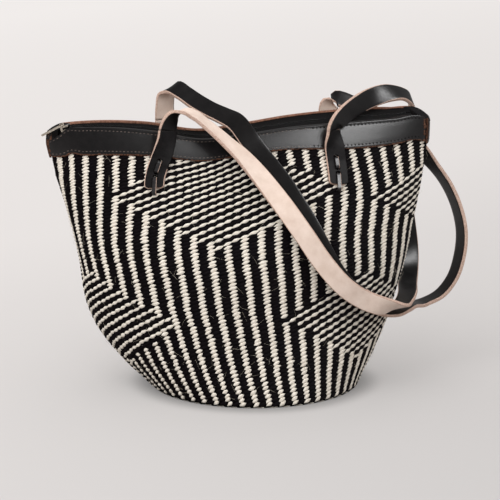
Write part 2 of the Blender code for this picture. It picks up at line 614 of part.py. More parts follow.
def end_route(rear, top_row, foot_share, height_share):
    """Middle line and directions of a strap end, from below its foot up to the handle."""
    top = np.array(top_row[:3]) * ROUTE_SCALE
    top_wide = np.array(top_row[3:])
    top_wide = top_wide * np.sign(top_wide[0])
    foot_x = foot_share * MOUTH_LENGTH
    foot_z = top[2] - STRAP_END_HEIGHT * height_share
    levels = np.linspace(foot_z - below_end, top[2] - TOUCH_GAP / 2, END_LEVELS)
    band_low = rim_height(top[0], rear) - BAND_HEIGHT
    rows, wides = [], []
    side = 1 if rear else -1
    for z in levels:
        share = (z - foot_z) / (top[2] - foot_z)
        x = foot_x + (top[0] - foot_x) * ease(share)
        lift = wall_rest + (band_rest - wall_rest) * ease((z - band_low + climb) / climb)
        y = surface_y(x, z, rear) + side * lift
        if z > band_low:
            rise = (z - band_low) / (top[2] - band_low)
            y_low = surface_y(x, band_low, rear) + side * band_rest
            y = y_low + (top[1] - y_low) * rise
        step = STRAP_WIDTH / 4
        slope = (surface_y(x + step, z, rear) - surface_y(x - step, z, rear)) / (2 * step)
        wall_wide = np.array((1, slope, 0)) / np.hypot(1, slope)
        blend = ease((z - band_low) / (top[2] - band_low))
        rows.append((x, y, z))
        wides.append(wall_wide * (1 - blend) + top_wide * blend)
    return np.array(rows, float), np.array(wides, float)


def route_steps(rows):
    """Distance along a strap end's route, and where its foot comes on it."""
    steps = np.r_[0, np.cumsum(np.linalg.norm(np.diff(rows, axis=0), axis=1))]
    return steps, np.interp(rows[0, 2] + below_end, rows[:, 2], steps)


def frame_at(rows, wides, place, side):
    """The middle, along, across and outward directions at a distance above the strap's foot."""
    steps, foot = route_steps(rows)
    at = np.array((foot + place, foot + place + TOUCH_GAP))
    line = smooth_between(steps, rows, at)
    along = (line[1] - line[0]) / np.linalg.norm(line[1] - line[0])
    wide = smooth_between(steps, wides, at)[0]
    wide = wide - wide @ along * along
    wide /= np.linalg.norm(wide)
    out = np.cross(wide, along)
    out = out if out[1] * side > 0 else -out
    return line[0], along, wide, out


MITRE_LIMIT_SHARE = 0.5


def thong(path_points, half_width, across_points, half_thick):
    """A flat thong bent in one plane: each corner is mitred."""
    path_points = np.asarray(path_points, float)
    count = len(path_points)
    rings = []
    for i in range(count):
        before = path_points[i] - path_points[i - 1] if i else path_points[1] - path_points[0]
        after = path_points[i + 1] - path_points[i] if i < count - 1 else before
        before, after = before / np.linalg.norm(before), after / np.linalg.norm(after)
        across = across_points[i]
        n_before, n_after = np.cross(across, before), np.cross(across, after)
        mitre = n_before + n_after
        mitre /= np.linalg.norm(mitre)
        reach = half_thick / max(mitre @ n_before, MITRE_LIMIT_SHARE)
        rings.append([path_points[i] + a * half_width * across + b * reach * mitre
                      for a, b in ((-1, -1), (1, -1), (1, 1), (-1, 1))])
    return capped(rings)


def add_strap_end(prefix, rear, top_row, foot_share, height_share):
    """A laced strap end, its holes through strap and wall, and its lace."""
    side = 1 if rear else -1
    rows, wides = end_route(rear, top_row, foot_share, height_share)
    steps, foot = route_steps(rows)
    fine = np.linspace(foot, steps[-1], END_STEPS)
    line, wide_line = smooth_between(steps, rows, fine), smooth_between(steps, wides, fine)
    middle, _, wide, out, length = route_frames(line, wide_line, END_STEPS)
    rings = strap_rings(middle, wide, out, STRAP_WIDTH, STRAP_THICKNESS)
    rings[-1, :, 2] = rows[-1, 2]
    points, faces = capped(rings)
    strap = add_body(prefix + "_strap_end", points, faces, STRAP_LEATHER)
    print(prefix, "strap end length in metres", round(length, 4))

    frames = [frame_at(rows, wides, place, side) for place in hole_places + (wall_hole_place,)]
    through_in = -(STRAP_THICKNESS / 2 + TOUCH_GAP * 2 + WALL_THICKNESS + LACE_THICKNESS + band_lift)
    hole_rings_all, hole_faces_all = [], []
    for centre, along, wide_dir, out_dir in frames:
        turns = np.arange(HOLE_SIDES) * 2 * np.pi / HOLE_SIDES
        rings = [[centre + depth * out_dir + LACE_HOLE_RADIUS * (np.cos(t) * wide_dir + np.sin(t) * along)
                  for t in turns] for depth in (through_in, STRAP_THICKNESS)]
        hole_points, hole_faces = capped(rings)
        if np.cross(wide_dir, along) @ out_dir < 0:
            hole_faces = [face[::-1] for face in hole_faces]
        start = sum(len(r) for r in hole_rings_all)
        hole_rings_all.append(hole_points)
        hole_faces_all += [tuple(start + k for k in face) for face in hole_faces]
    cutter = add_body(prefix + "_hole_cutter", np.vstack(hole_rings_all), hole_faces_all, STRAP_LEATHER)
    cutter.hide_render = True
    cutter.display_type = "WIRE"
    boolean(strap, cutter, "DIFFERENCE")
    boolean(basket, cutter, "DIFFERENCE")

    out_side = STRAP_THICKNESS / 2 + TOUCH_GAP * 2 + LACE_THICKNESS / 2
    in_side = -(STRAP_THICKNESS / 2 + TOUCH_GAP * 3 + WALL_THICKNESS * end_lean_share + LACE_THICKNESS / 2)
    upper, middle_hole, lower, wall_hole = hole_places + (wall_hole_place,)
    tail = LACE_HOLE_RADIUS * 3
    upper_in = in_side - band_lift
    tail_depth = upper_in - LACE_THICKNESS
    stations = ((upper + tail, tail_depth), (upper, upper_in), (upper, out_side),
                (middle_hole, out_side), (middle_hole, in_side), (lower, in_side), (lower, out_side),
                (wall_hole, out_side), (wall_hole, in_side), (wall_hole - tail, in_side - LACE_THICKNESS))
    path, across = [], []
    for place, depth in stations:
        centre, along, wide_dir, out_dir = frame_at(rows, wides, place, side)
        path.append(centre + depth * out_dir)
        across.append(wide_dir)
    points, faces = thong(path, LACE_WIDTH / 2, across, LACE_THICKNESS / 2)
    lace_length = float(np.sum(np.linalg.norm(np.diff(path, axis=0), axis=1)))
    print(prefix, "lace length in metres", round(lace_length, 4))
    return strap, add_body(prefix + "_lace", points, faces, BLACK_LEATHER)


for row in strap_end_table:
    add_strap_end(*row)

# Outward faces on every body
for made in bpy.data.objects:
    shape = bmesh.new()
    shape.from_mesh(made.data)
    bmesh.ops.recalc_face_normals(shape, faces=shape.faces)
    if shape.calc_volume(signed=True) < 0:
        bmesh.ops.reverse_faces(shape, faces=shape.faces)
    shape.to_mesh(made.data)
    shape.free()
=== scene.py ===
# %% [markdown]
# # A striped sisal basket with leather straps
# A kiondo is a bag twined by hand from sisal cord. Upright cords, the warps, run from the
# middle of the round base to the rim, and two wefts, one pale and one black, are twisted
# round each warp in turn, row after row. Here the weave is real geometry: every visible
# stitch is a small slanted grain, so the stripes have toothed edges as they do on the bag.
#
# The CAD part is the frame. Everything drawn below sits on one of its bodies: the basket
# itself, the two strap loops that swing, and the zip's pull.

import bmesh
import bpy
import numpy as np
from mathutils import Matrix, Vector


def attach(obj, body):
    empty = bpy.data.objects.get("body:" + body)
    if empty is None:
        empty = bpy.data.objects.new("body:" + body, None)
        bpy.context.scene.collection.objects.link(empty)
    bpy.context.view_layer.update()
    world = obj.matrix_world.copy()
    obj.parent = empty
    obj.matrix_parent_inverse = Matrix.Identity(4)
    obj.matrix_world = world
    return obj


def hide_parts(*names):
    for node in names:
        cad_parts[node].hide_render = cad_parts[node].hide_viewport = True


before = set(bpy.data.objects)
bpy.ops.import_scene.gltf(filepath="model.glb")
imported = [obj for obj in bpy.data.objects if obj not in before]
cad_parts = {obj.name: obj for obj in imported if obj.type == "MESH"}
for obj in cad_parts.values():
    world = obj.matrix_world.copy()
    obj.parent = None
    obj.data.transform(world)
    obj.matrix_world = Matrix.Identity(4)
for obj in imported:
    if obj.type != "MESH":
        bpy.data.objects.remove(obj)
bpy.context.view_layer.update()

# %% [markdown]
# ## Sizes
# All sizes are in metres. The basket's own sizes are the CAD part's, so that each drawn
# piece follows the same surface. Tables hold shares: of the height, of the mouth's length,
# or of the way from the base's radius out to the mouth's reach.

# %% Sizes
MM = 0.001
HEIGHT = 0.264
BASE_RADIUS = 0.104
MOUTH_LEFT_REACH = 0.203
MOUTH_RIGHT_REACH = 0.172
MOUTH_HALF_WIDTH = 0.029
MOUTH_LENGTH = MOUTH_LEFT_REACH + MOUTH_RIGHT_REACH
WALL_THICKNESS = 0.003
BAND_LEATHER = 0.0018
TOUCH_GAP = 0.0003
BAND_OUT = TOUCH_GAP + BAND_LEATHER
print("mouth, mm:", round(MOUTH_LENGTH / MM), "height, mm:", round(HEIGHT / MM))

# %% [markdown]
# ## Curves through tables
# A soft bag has no straight lines, so its sizes change along smooth curves through a few
# entries of a table. One function draws such a curve, and another eases one shape into the
# next where a straight blend would leave a crease.


# %% Curves through tables
def smooth_between(places, values, at):
    """A smooth curve through a table: cubic pieces whose slopes follow the neighbours."""
    places, values = np.asarray(places, float), np.asarray(values, float)
    at = np.clip(np.asarray(at, float), places[0], places[-1])
    slopes = np.gradient(values, places, axis=0)
    left = np.clip(np.searchsorted(places, at, side="right") - 1, 0, len(places) - 2)
    span = places[left + 1] - places[left]
    t = (at - places[left]) / span
    if values.ndim > 1:
        t, span = t[..., None], span[..., None]
    return ((2 * t**3 - 3 * t**2 + 1) * values[left] + (t**3 - 2 * t**2 + t) * span * slopes[left]
            + (3 * t**2 - 2 * t**3) * values[left + 1] + (t**3 - t**2) * span * slopes[left + 1])


def ease(share):
    """A smooth step from 0 to 1: three times the share squared, less twice its cube."""
    share = np.clip(share, 0, 1)
    return share * share * (3 - 2 * share)


def unit(vectors):
    """Vectors divided by their lengths, along the last axis."""
    return vectors / np.linalg.norm(vectors, axis=-1, keepdims=True)


def distances(points):
    """How far each point of a line is from its start, as the sum of the steps before it."""
    return np.r_[0, np.cumsum(np.linalg.norm(np.diff(points, axis=0), axis=1))]


def along_line(at, run, rows):
    """Rows of a table at given distances, each column found on straight lines between rows."""
    return np.stack([np.interp(at, run, rows[:, i]) for i in range(3)], 1)


print("half way up a smooth step:", float(ease(0.5)))

# %% [markdown]
# ## The wall as a formula
# The base is a circle and the mouth is a long narrow slit, so the outline at each level is
# a circle stretched to the level's reach left and right and its half depth. A power makes
# the ends blunter or sharper: 0.5 is an ellipse, and more is sharper.

# %% The wall's levels
# Levels, and how far the wall has gone there from the base's radius to the mouth's reach
LEVEL_SHARES = (0.0, 0.04, 0.10, 0.16, 0.23, 0.35, 0.51, 0.63, 0.78, 0.90, 1.0)
LEFT_SHARES = (0.0, 0.10, 0.26, 0.39, 0.52, 0.65, 0.71, 0.77, 0.87, 0.95, 1.0)
RIGHT_SHARES = (0.0, 0.07, 0.19, 0.30, 0.41, 0.56, 0.73, 0.82, 0.93, 0.985, 1.0)
DEPTH_SHARES = (0.0, 0.02, 0.08, 0.12, 0.16, 0.19, 0.213, 0.32, 0.56, 0.825, 1.0)
# The power of each end of the outline at the same levels
FRONT_LEFT_POWERS = (0.5, 0.5, 0.5, 0.5, 0.5, 0.5, 0.5, 0.52, 0.55, 0.58, 0.6)
REAR_LEFT_POWERS = (0.5, 0.5, 0.5, 0.5, 0.5, 0.5, 0.5, 0.5, 0.5, 0.5, 0.5)
RIGHT_POWERS = (0.5, 0.5, 0.5, 0.5, 0.5, 0.52, 0.55, 0.6, 0.6, 0.6, 0.6)
# A layer over the wall grows by more than its thickness at the sharp left and right ends
END_GROWTH_SHARE = 4 / 3


def level_sizes(v):
    """Left reach, right reach and half depth at a level: base radius plus a share of the way out."""
    left = BASE_RADIUS + (MOUTH_LEFT_REACH - BASE_RADIUS) * smooth_between(LEVEL_SHARES, LEFT_SHARES, v)
    right = BASE_RADIUS + (MOUTH_RIGHT_REACH - BASE_RADIUS) * smooth_between(LEVEL_SHARES, RIGHT_SHARES, v)
    depth = BASE_RADIUS + (MOUTH_HALF_WIDTH - BASE_RADIUS) * smooth_between(LEVEL_SHARES, DEPTH_SHARES, v)
    return left, right, depth


def end_power(v, c, rear):
    """The outline's power: the left end's and the right end's mixed by c, from -1 left to 1 right."""
    front_left = smooth_between(LEVEL_SHARES, FRONT_LEFT_POWERS, v)
    rear_left = smooth_between(LEVEL_SHARES, REAR_LEFT_POWERS, v)
    right = smooth_between(LEVEL_SHARES, RIGHT_POWERS, v)
    return np.where(rear, rear_left, front_left) * (1 - c) / 2 + right * (1 + c) / 2


def outline(theta, v, out=0.0):
    """x and y of the wall: x = middle + half length x cos, y = depth x |sin| to twice the power."""
    left, right, depth = level_sizes(v)
    left = left + out * END_GROWTH_SHARE
    right = right + out * END_GROWTH_SHARE
    depth = depth + out
    c, s = np.cos(theta), np.sin(theta)
    x = (right - left) / 2 + (right + left) / 2 * c
    return x, depth * np.sign(s) * np.abs(s) ** (2 * end_power(v, c, s > 0))


print("wall half way up, mm:", [round(float(size) / MM, 1) for size in level_sizes(0.5)])

# %% [markdown]
# ## The rim
# The mouth isn't level: it dips left of the middle and rises to the right. So a level is a
# share of the height that the rim has above that place, and the two sides' heights meet at
# the corners.

# %% The rim
# Places along the mouth from left to right, and the height of each side's rim there
RIM_PLACE_SHARES = (0.0, 0.019, 0.035, 0.051, 0.088, 0.141, 0.261,
                    0.397, 0.515, 0.635, 0.768, 0.901, 0.981, 1.0)
FRONT_RIM_SHARES = (0.936, 0.951, 0.968, 0.989, 0.996, 0.998, 0.987,
                    0.956, 0.973, 0.996, 1.008, 1.017, 1.019, 1.004)
REAR_RIM_SHARES = (0.973, 0.989, 0.998, 1.0, 1.002, 1.002, 0.991,
                   0.960, 0.981, 1.009, 1.030, 1.042, 1.036, 1.015)
LEFT_MERGE_SHARE = 0.08
RIGHT_MERGE_SHARE = 0.055


def mouth_share(x):
    """How far along the mouth a place is, from 0 at its left end to 1 at its right end."""
    return (np.asarray(x, float) + MOUTH_LEFT_REACH) / MOUTH_LENGTH


def rim_height(x, rear):
    """Height of a rim band's top edge: the basket's height times the table's share at the place."""
    front = smooth_between(RIM_PLACE_SHARES, FRONT_RIM_SHARES, mouth_share(x))
    return HEIGHT * np.where(rear, smooth_between(RIM_PLACE_SHARES, REAR_RIM_SHARES, mouth_share(x)), front)


def wall_height(x, rear):
    """Height of the weave's top edge: the rim's, less the leather, the sides meeting at the corners."""
    place = mouth_share(x)
    share = ease(place / LEFT_MERGE_SHARE) * ease((1 - place) / RIGHT_MERGE_SHARE)
    front, back = rim_height(x, False), rim_height(x, True)
    return front + np.where(rear, (back - front) * share, 0) - BAND_OUT


def wall_place(theta, v, out=0.0):
    """Points on the wall: the outline at a level, at that share of the rim's height above it."""
    x, y = outline(theta, v, out)
    top_x, _ = outline(theta, np.ones_like(theta))
    return np.stack([x, y, v * wall_height(top_x, np.sin(theta) > 0)], -1)


print("rim in the dip, mm:", round(float(rim_height(-MOUTH_LEFT_REACH / 4, False)) / MM, 1))

# %% [markdown]
# ## Meshes from arrays
# Thousands of stitches are far quicker to make as whole arrays of corners and faces than
# one at a time, so every piece goes through one function that hands arrays to Blender. A
# surface is a grid of points, and its faces join each point to its neighbours.


# %% Meshes from arrays
def build(name, points, quads, looks, smooth=True, uv=None, slots=None):
    """One mesh object from arrays of points and four-cornered faces; slots say each face's finish."""
    points = np.asarray(points, np.float32).reshape(-1, 3)
    quads = np.asarray(quads, np.int32).reshape(-1, 4)
    mesh = bpy.data.meshes.new(name)
    mesh.vertices.add(len(points))
    mesh.vertices.foreach_set("co", points.ravel())
    mesh.loops.add(quads.size)
    mesh.loops.foreach_set("vertex_index", quads.ravel())
    mesh.polygons.add(len(quads))
    mesh.polygons.foreach_set("loop_start", np.arange(0, quads.size, 4, dtype=np.int32))
    mesh.update(calc_edges=True)
    mesh.polygons.foreach_set("use_smooth", np.full(len(quads), smooth))
    if uv is not None:
        layer = mesh.uv_layers.new(name="UVMap")
        layer.uv.foreach_set("vector", np.asarray(uv, np.float32).reshape(-1, 2)[quads.ravel()].ravel())
    for look in looks if isinstance(looks, (list, tuple)) else [looks]:
        mesh.materials.append(look)
    if slots is not None:
        mesh.polygons.foreach_set("material_index", np.asarray(slots, np.int32))
    made = bpy.data.objects.new(name, mesh)
    bpy.context.scene.collection.objects.link(made)
    return made


def grid_faces(rows, columns, closed=False):
    """Faces of a grid of points, row after row; a closed grid joins its last column to its first."""
    i, j = np.meshgrid(np.arange(rows - 1), np.arange(columns if closed else columns - 1), indexing="ij")
    k = (j + 1) % columns
    quads = np.stack([i * columns + j, i * columns + k, (i + 1) * columns + k, (i + 1) * columns + j], -1)
    return quads.reshape(-1, 4)


def repeated_faces(count, one, points_each):
    """The faces of many equal shapes: one shape's faces, moved on by its number of points each time."""
    return (one[None] + np.arange(count)[:, None, None] * points_each).reshape(-1, 4)


def tube(line, radius, a, b, sides):
    """Rings of points round a line: the line plus the radius times cos x a plus sin x b."""
    turn = (np.arange(sides) * 2 * np.pi / sides)[:, None]
    ring = np.cos(turn) * a[..., None, :] + np.sin(turn) * b[..., None, :]
    return line[..., None, :] + radius[..., None, None] * ring


print("faces of a grid of 3 by 4 points:", len(grid_faces(3, 4)))

# %% [markdown]
# ## Colours and nodes
# Colours are written as on a paint chart, in sRGB, and turned to the linear values that the
# shader works in. Nothing on this bag has one flat colour: fibre, hide and worn metal all
# wander between a darker and a lighter shade, at a grain that can be measured. So one
# recipe serves them all: a noise of the grain's real size picks a shade between two, and a
# finer noise raises a slight relief. On sisal it follows each stitch's own UV map, so that
# the fibres run along the stitch.


# %% Colours and nodes
def colour(code):
    """Linear red, green and blue of a hex sRGB colour, by the sRGB curve."""
    srgb = np.array([int(code[i:i + 2], 16) for i in (1, 3, 5)]) / 255
    linear = np.where(srgb <= 0.04045, srgb / 12.92, ((srgb + 0.055) / 1.055) ** 2.4)
    return (*[float(c) for c in linear], 1.0)


def add(tree, kind, settings=None, **inputs):
    """Add a node with its settings; each input, by name or number, takes a value or an output."""
    node = tree.nodes.new(kind)
    for name, value in (settings or {}).items():
        setattr(node, name, value)
    for name, value in inputs.items():
        socket = node.inputs[int(name[1:])] if name[1:].isdigit() else node.inputs[name.replace("_", " ")]
        if isinstance(value, bpy.types.NodeSocket):
            tree.links.new(value, socket)
        else:
            socket.default_value = value
    return node


def material(name, roughness, metallic=0.0, specular=0.5):
    """A new material, its node tree and its shader."""
    made = bpy.data.materials.new(name)
    made.use_nodes = True
    shader = made.node_tree.nodes["Principled BSDF"]
    shader.inputs["Roughness"].default_value = roughness
    shader.inputs["Metallic"].default_value = metallic
    shader.inputs["Specular IOR Level"].default_value = specular
    return made, made.node_tree, shader


NOISE_DARK_SHARE = 0.3
NOISE_BRIGHT_SHARE = 0.7
RELIEF = 0.5 * MM


def mottled(name, codes, size, roughness, bump=0.0, bump_size=None, specular=0.5, metallic=0.0,
            stretch=(1, 1, 1), uv=False):
    """A finish whose colour follows noise of a real size between two shades, with a finer relief."""
    made, tree, shader = material(name, roughness, metallic, specular)
    place = add(tree, "ShaderNodeTexCoord").outputs["UV" if uv else "Object"]
    place = add(tree, "ShaderNodeMapping", Vector=place, Scale=stretch).outputs[0]
    noise = add(tree, "ShaderNodeTexNoise", Vector=place, Scale=1 / size, Detail=4.0, Roughness=0.6)
    ramp = add(tree, "ShaderNodeValToRGB", Fac=noise.outputs["Fac"])
    ramp.color_ramp.elements[0].position = NOISE_DARK_SHARE
    ramp.color_ramp.elements[1].position = NOISE_BRIGHT_SHARE
    ramp.color_ramp.elements[0].color = colour(codes[0])
    ramp.color_ramp.elements[1].color = colour(codes[1])
    tree.links.new(ramp.outputs[0], shader.inputs["Base Color"])
    if bump:
        fine = add(tree, "ShaderNodeTexNoise", Vector=place, Scale=1 / (bump_size or size), Detail=3.0)
        relief = add(tree, "ShaderNodeBump", Height=fine.outputs["Fac"], Strength=bump, Distance=RELIEF)
        tree.links.new(relief.outputs[0], shader.inputs["Normal"])
    return made


print("leather black in linear light:", [round(c, 4) for c in colour("#141011")[:3]])

# %% [markdown]
# ## Sisal
# Sisal is a stiff leaf fibre, spun by hand: almost without shine, and streaky along each
# stitch. Its single fibres are about 0.2 mm thick, too fine to show here, so the streaks are
# 1.6 mm and the relief 0.5 mm. An image of sisal would do too, but would repeat.

# %% Sisal
FIBRE = {"stretch": (0.35, 2, 1), "uv": True}
# Natural sisal twine: cream with straw-coloured streaks, dull
PALE_SISAL = mottled("pale sisal", ("#D6CCBC", "#FFF9EF"), 1.6 * MM, 0.85, 0.6, 0.5 * MM, 0.1, **FIBRE)
# Dyed sisal twine: a deep warm black that hides its relief
BLACK_SISAL = mottled("black sisal", ("#070507", "#151013"), 1.6 * MM, 0.85, 0.5, 0.5 * MM, 0.05, **FIBRE)
# Painted shade: a near-black sheet for the warps, which are seen only in the shade between the stitches; no
# shine at all
PAINTED_SHADE_SHEET = mottled("painted shade sheet", ("#050505", "#0E0B0B"), 3 * MM, 0.95, specular=0.05)
# Loose single fibres: grey to straw, slightly glossy
STRAY_HAIR = mottled("stray sisal hair", ("#8F8778", "#E4DBC9"), 4 * MM, 0.7, specular=0.2)
print("sisal finishes:", len(bpy.data.materials))

# %% [markdown]
# ## Leather
# The bag's leather is cowhide, dyed black and pressed smooth on its grain side, left pinkish
# and fuzzy on its flesh side, and brown and rough where it was cut. Its pores are about
# 0.1 mm, so the relief of 0.4 to 0.7 mm is coarser than life, to break the sheen as they do.

# %% Leather
# Pressed grain side of the bands: a soft sheen broken by fine pores
BAND_BLACK = mottled("black band leather", ("#080607", "#141011"), 6 * MM, 0.38, 0.25, 0.7 * MM, 0.35)
# The bands' inner side, dyed but not pressed: black without sheen
BAND_INSIDE = mottled("black band inside", ("#080708", "#141011"), 5 * MM, 0.8, 0.3, 0.7 * MM, 0.1)
# Cut edges of the bands: brown fibres, rough and uneven
RAW_EDGE = mottled("raw brown leather edge", ("#2A1A15", "#72503F"), 1.6 * MM, 0.9, 0.8, 0.4 * MM, 0.1)
# The rear band's fold, where the dye has worn off: a lighter brown
RAW_TOP = mottled("raw brown band top", ("#5A3C30", "#A07560"), 2 * MM, 0.85, 0.6, 0.5 * MM, 0.1)
# Grain side of the straps: smoother than the bands, with longer bright glints
STRAP_BLACK = mottled("black strap grain", ("#090708", "#141112"), 9 * MM, 0.34, 0.2, 0.6 * MM, 0.3)
# Grain side of the laced ends, scuffed by the lace: duller
END_BLACK = mottled("black strap end", ("#0B090A", "#181415"), 5 * MM, 0.6, 0.3, 0.6 * MM, 0.1)
# Flesh side of the straps: pale pink, matt and a little fuzzy
STRAP_FLESH = mottled("flesh side", ("#DAC4B5", "#EAD7CA"), 12 * MM, 0.85, 0.25, 0.4 * MM, 0.2)
# Cut edges of the straps: a darker pink with the layers of the hide
STRAP_EDGE = mottled("cut leather edge", ("#A98775", "#DEC4B5"), 1.2 * MM, 0.85, 0.5, 0.3 * MM, 0.2)
# Lace of thin hide, rubbed shiny
LACE_BLACK = mottled("black lace leather", ("#141213", "#2E2B2C"), 3 * MM, 0.35, 0.2, 0.5 * MM, 0.35)
print("finishes so far:", len(bpy.data.materials))

# %% [markdown]
# ## Zip and thread
# The zip is woven tape, nylon coil and a dull cast metal, and the sewing is waxed thread.
# They are all small in the picture, so a shade that wanders over 1 to 2.5 mm is enough to
# keep them from looking like painted plastic.

# %% Zip and thread
# Woven cotton tape: matt; its weave of 0.3 mm is drawn as a relief of 0.5 mm
TAPE_BLACK = mottled("black zip tape", ("#070707", "#121011"), 1 * MM, 0.9, 0.6, 0.5 * MM, 0.1)
# Nylon coil: smooth plastic with small highlights
COIL_BLACK = mottled("black nylon coil", ("#0A0A0B", "#19181A"), 2 * MM, 0.45, specular=0.3)
# Waxed black thread; on the left and in the middle it is painted grey, painted light for the light the
# thread catches there
THREAD_BLACK = mottled("black sewing thread", ("#060505", "#1A1516"), 2.5 * MM, 0.7, specular=0.1)
THREAD_PAINTED_LIGHT = mottled("sewing thread with painted light", ("#3A3030", "#75685F"), 2.5 * MM, 0.6, specular=0.3)
# Cast zinc with an antique finish: pale, worn and only partly bright
PULL_METAL = mottled("antique zip metal", ("#8C8073", "#D2C8BA"), 2.5 * MM, 0.45, 0.4, 0.5 * MM,
                     metallic=0.6)
print("finishes:", len(bpy.data.materials))

# %% [markdown]
# ## Equal distances round the wall
# The warps stand at equal distances, but equal angles round a stretched outline are not
# equal distances. The outline has no simple formula for its length, so the way round is
# measured at 61 levels, and a table gives the angle at each share of the way.

# %% Equal distances round the wall
TABLE_LEVELS = 61
TABLE_TURNS = 1441
TABLE_SHARES = 401

table_levels = np.linspace(0, 1, TABLE_LEVELS)
table_turns = np.linspace(np.pi, 3 * np.pi, TABLE_TURNS)
table_rings = wall_place(*np.broadcast_arrays(table_turns[None], table_levels[:, None]))
ring_steps = np.cumsum(np.linalg.norm(np.diff(table_rings, axis=1), axis=2), axis=1)
ring_shares = np.pad(ring_steps / ring_steps[:, -1:], ((0, 0), (1, 0)))
share_places = np.linspace(0, 1, TABLE_SHARES)
turn_table = np.stack([np.interp(share_places, shares, table_turns) for shares in ring_shares])


def turn_at(share, v):
    """The angle at a share of the way round and a level: the table's four nearest entries, mixed."""
    whole = np.floor(share)
    across = (share - whole) * (TABLE_SHARES - 1)
    up = np.clip(v, 0, 1) * (TABLE_LEVELS - 1)
    i = np.clip(up.astype(int), 0, TABLE_LEVELS - 2)
    j = np.clip(across.astype(int), 0, TABLE_SHARES - 2)
    a, b = up - i, across - j
    low = turn_table[i, j] * (1 - b) + turn_table[i, j + 1] * b
    high = turn_table[i + 1, j] * (1 - b) + turn_table[i + 1, j + 1] * b
    return low * (1 - a) + high * a + whole * 2 * np.pi


print("once round base and mouth, mm:", [round(float(ring_steps[i, -1]) / MM) for i in (0, -1)])

# %% [markdown]
# ## Where the warps and rows run
# There are 100 warps. They lean: from the base up they drift to the left, as the
# photograph's stripes do. Rows are closer together towards the rim, and where the rim dips
# they crowd into what height is left. So a stitch has two numbers of its own, its warp and
# its row, and one function turns them into a place on the wall.

# %% The weave's own coordinates
WARPS = 100
ROW_PITCH_LOW_SHARE = 0.0149
ROW_PITCH_HIGH_SHARE = 0.0118
FIRST_ROW_SHARE = 0.014
LAST_ROW_SHARE = 0.965
CROWD_FROM_SHARE = 0.7
# How many warps the stripes have drifted to the right at each level, at the two ends
LEAN_LEVEL_SHARES = (0.0, 0.125, 0.25, 0.405, 0.575, 0.77, 0.9, 1.0)
LEAN_LEFT = (1.1, 1.1, 1.0, 0.0, -1.15, -0.6, -0.05, 0.2)
LEAN_RIGHT = (0.7, 0.7, 0.5, -0.1, -0.6, -0.15, -0.75, -1.0)
WARP_OFFSET = 0.4


def weave_place(warp, row_share, out=0.0):
    """A point of the weave: share round = (warp + offset + lean) / warps, z crowding up to the rim."""
    side = 1 - np.abs((warp / WARPS * 2) % 2 - 1)
    lean = (smooth_between(LEAN_LEVEL_SHARES, LEAN_LEFT, row_share) * (1 - side)
            + smooth_between(LEAN_LEVEL_SHARES, LEAN_RIGHT, row_share) * side)
    share = (warp + WARP_OFFSET + lean) / WARPS
    theta = turn_at(share, row_share)
    top_x, _ = outline(theta, np.ones_like(theta))
    top = wall_height(top_x, np.sin(theta) > 0)
    crowding = ease((row_share - CROWD_FROM_SHARE) / (1 - CROWD_FROM_SHARE))
    z = HEIGHT * row_share + (top - HEIGHT) * crowding
    v = np.clip(z / top, 0, 1)
    return wall_place(turn_at(share, v), v, out)


def row_pitch(share):
    """The rows' distance as a share of the height, changing evenly from the base to the rim."""
    return ROW_PITCH_LOW_SHARE + (ROW_PITCH_HIGH_SHARE - ROW_PITCH_LOW_SHARE) * share


row_shares = [FIRST_ROW_SHARE]
while row_shares[-1] < LAST_ROW_SHARE:
    row_shares.append(row_shares[-1] + row_pitch(row_shares[-1]))
row_shares = np.array(row_shares)
print("rows of twining:", len(row_shares), "warps:", WARPS)

# %% [markdown]
# ## Pale or black
# The two wefts take turns in front, so colours alternate along a row. Where each row starts
# like the one below, the colours stack into upright stripes. Where each row starts one warp
# later, they climb in slanting lines. The bag has diamonds of slanting lines in its stripes.

# %% The pattern
# Each diamond: warp and row share of its left, top, right and bottom corners
DIAMONDS = (
    (8.3, 0.757, 22.0, 1.00, 37.0, 0.786, 22.0, 0.580),
    (40.5, 0.745, 55.0, 0.89, 69.5, 0.745, 55.0, 0.560),
    (75.0, 0.750, 88.0, 0.90, 100.5, 0.750, 88.0, 0.570),
    (-8.0, 0.300, 4.0, 0.455, 15.7, 0.305, 4.0, 0.115),
    (28.7, 0.313, 39.9, 0.476, 51.3, 0.310, 40.0, 0.138),
    (61.0, 0.300, 72.0, 0.460, 84.0, 0.300, 72.0, 0.120),
)


def in_diamond(warp, row_share):
    """Whether a stitch lies under both upper and over both lower sides of one of the diamonds."""
    inside = np.zeros(np.shape(warp), bool)
    for left_w, left_r, top_w, top_r, right_w, right_r, low_w, low_r in DIAMONDS:
        for turn in (-WARPS, 0, WARPS):
            w = warp - turn
            upper = np.interp(w, (left_w, top_w, right_w), (left_r, top_r, right_r))
            lower = np.interp(w, (left_w, low_w, right_w), (left_r, low_r, right_r))
            inside |= (w > left_w) & (w < right_w) & (row_share < upper) & (row_share > lower)
    return inside


warp_ids, row_ids = np.meshgrid(np.arange(WARPS), np.arange(len(row_shares)))
warp_ids, row_ids = warp_ids.ravel(), row_ids.ravel()
slanting = in_diamond(warp_ids, row_shares[row_ids])
pale = np.where(slanting, (warp_ids - row_ids) % 2, warp_ids % 2) == 1
print("pale stitches:", int(pale.sum()), "black stitches:", int((~pale).sum()))

# %% [markdown]
# ## The shape of a stitch
# A stitch comes out from behind one warp and dives behind the next, rising a little to the
# right. A displaced texture would lose its slanting ends at the bag's outline, so each one
# is drawn as half a spindle: a line across its warp, thick in the middle, its ends sunk in
# the wall.

# %% The shape of a stitch
STATIONS = 7
PROFILE = 5
TAPER_SHARE = 0.95
TAPER_POWER = 1.35


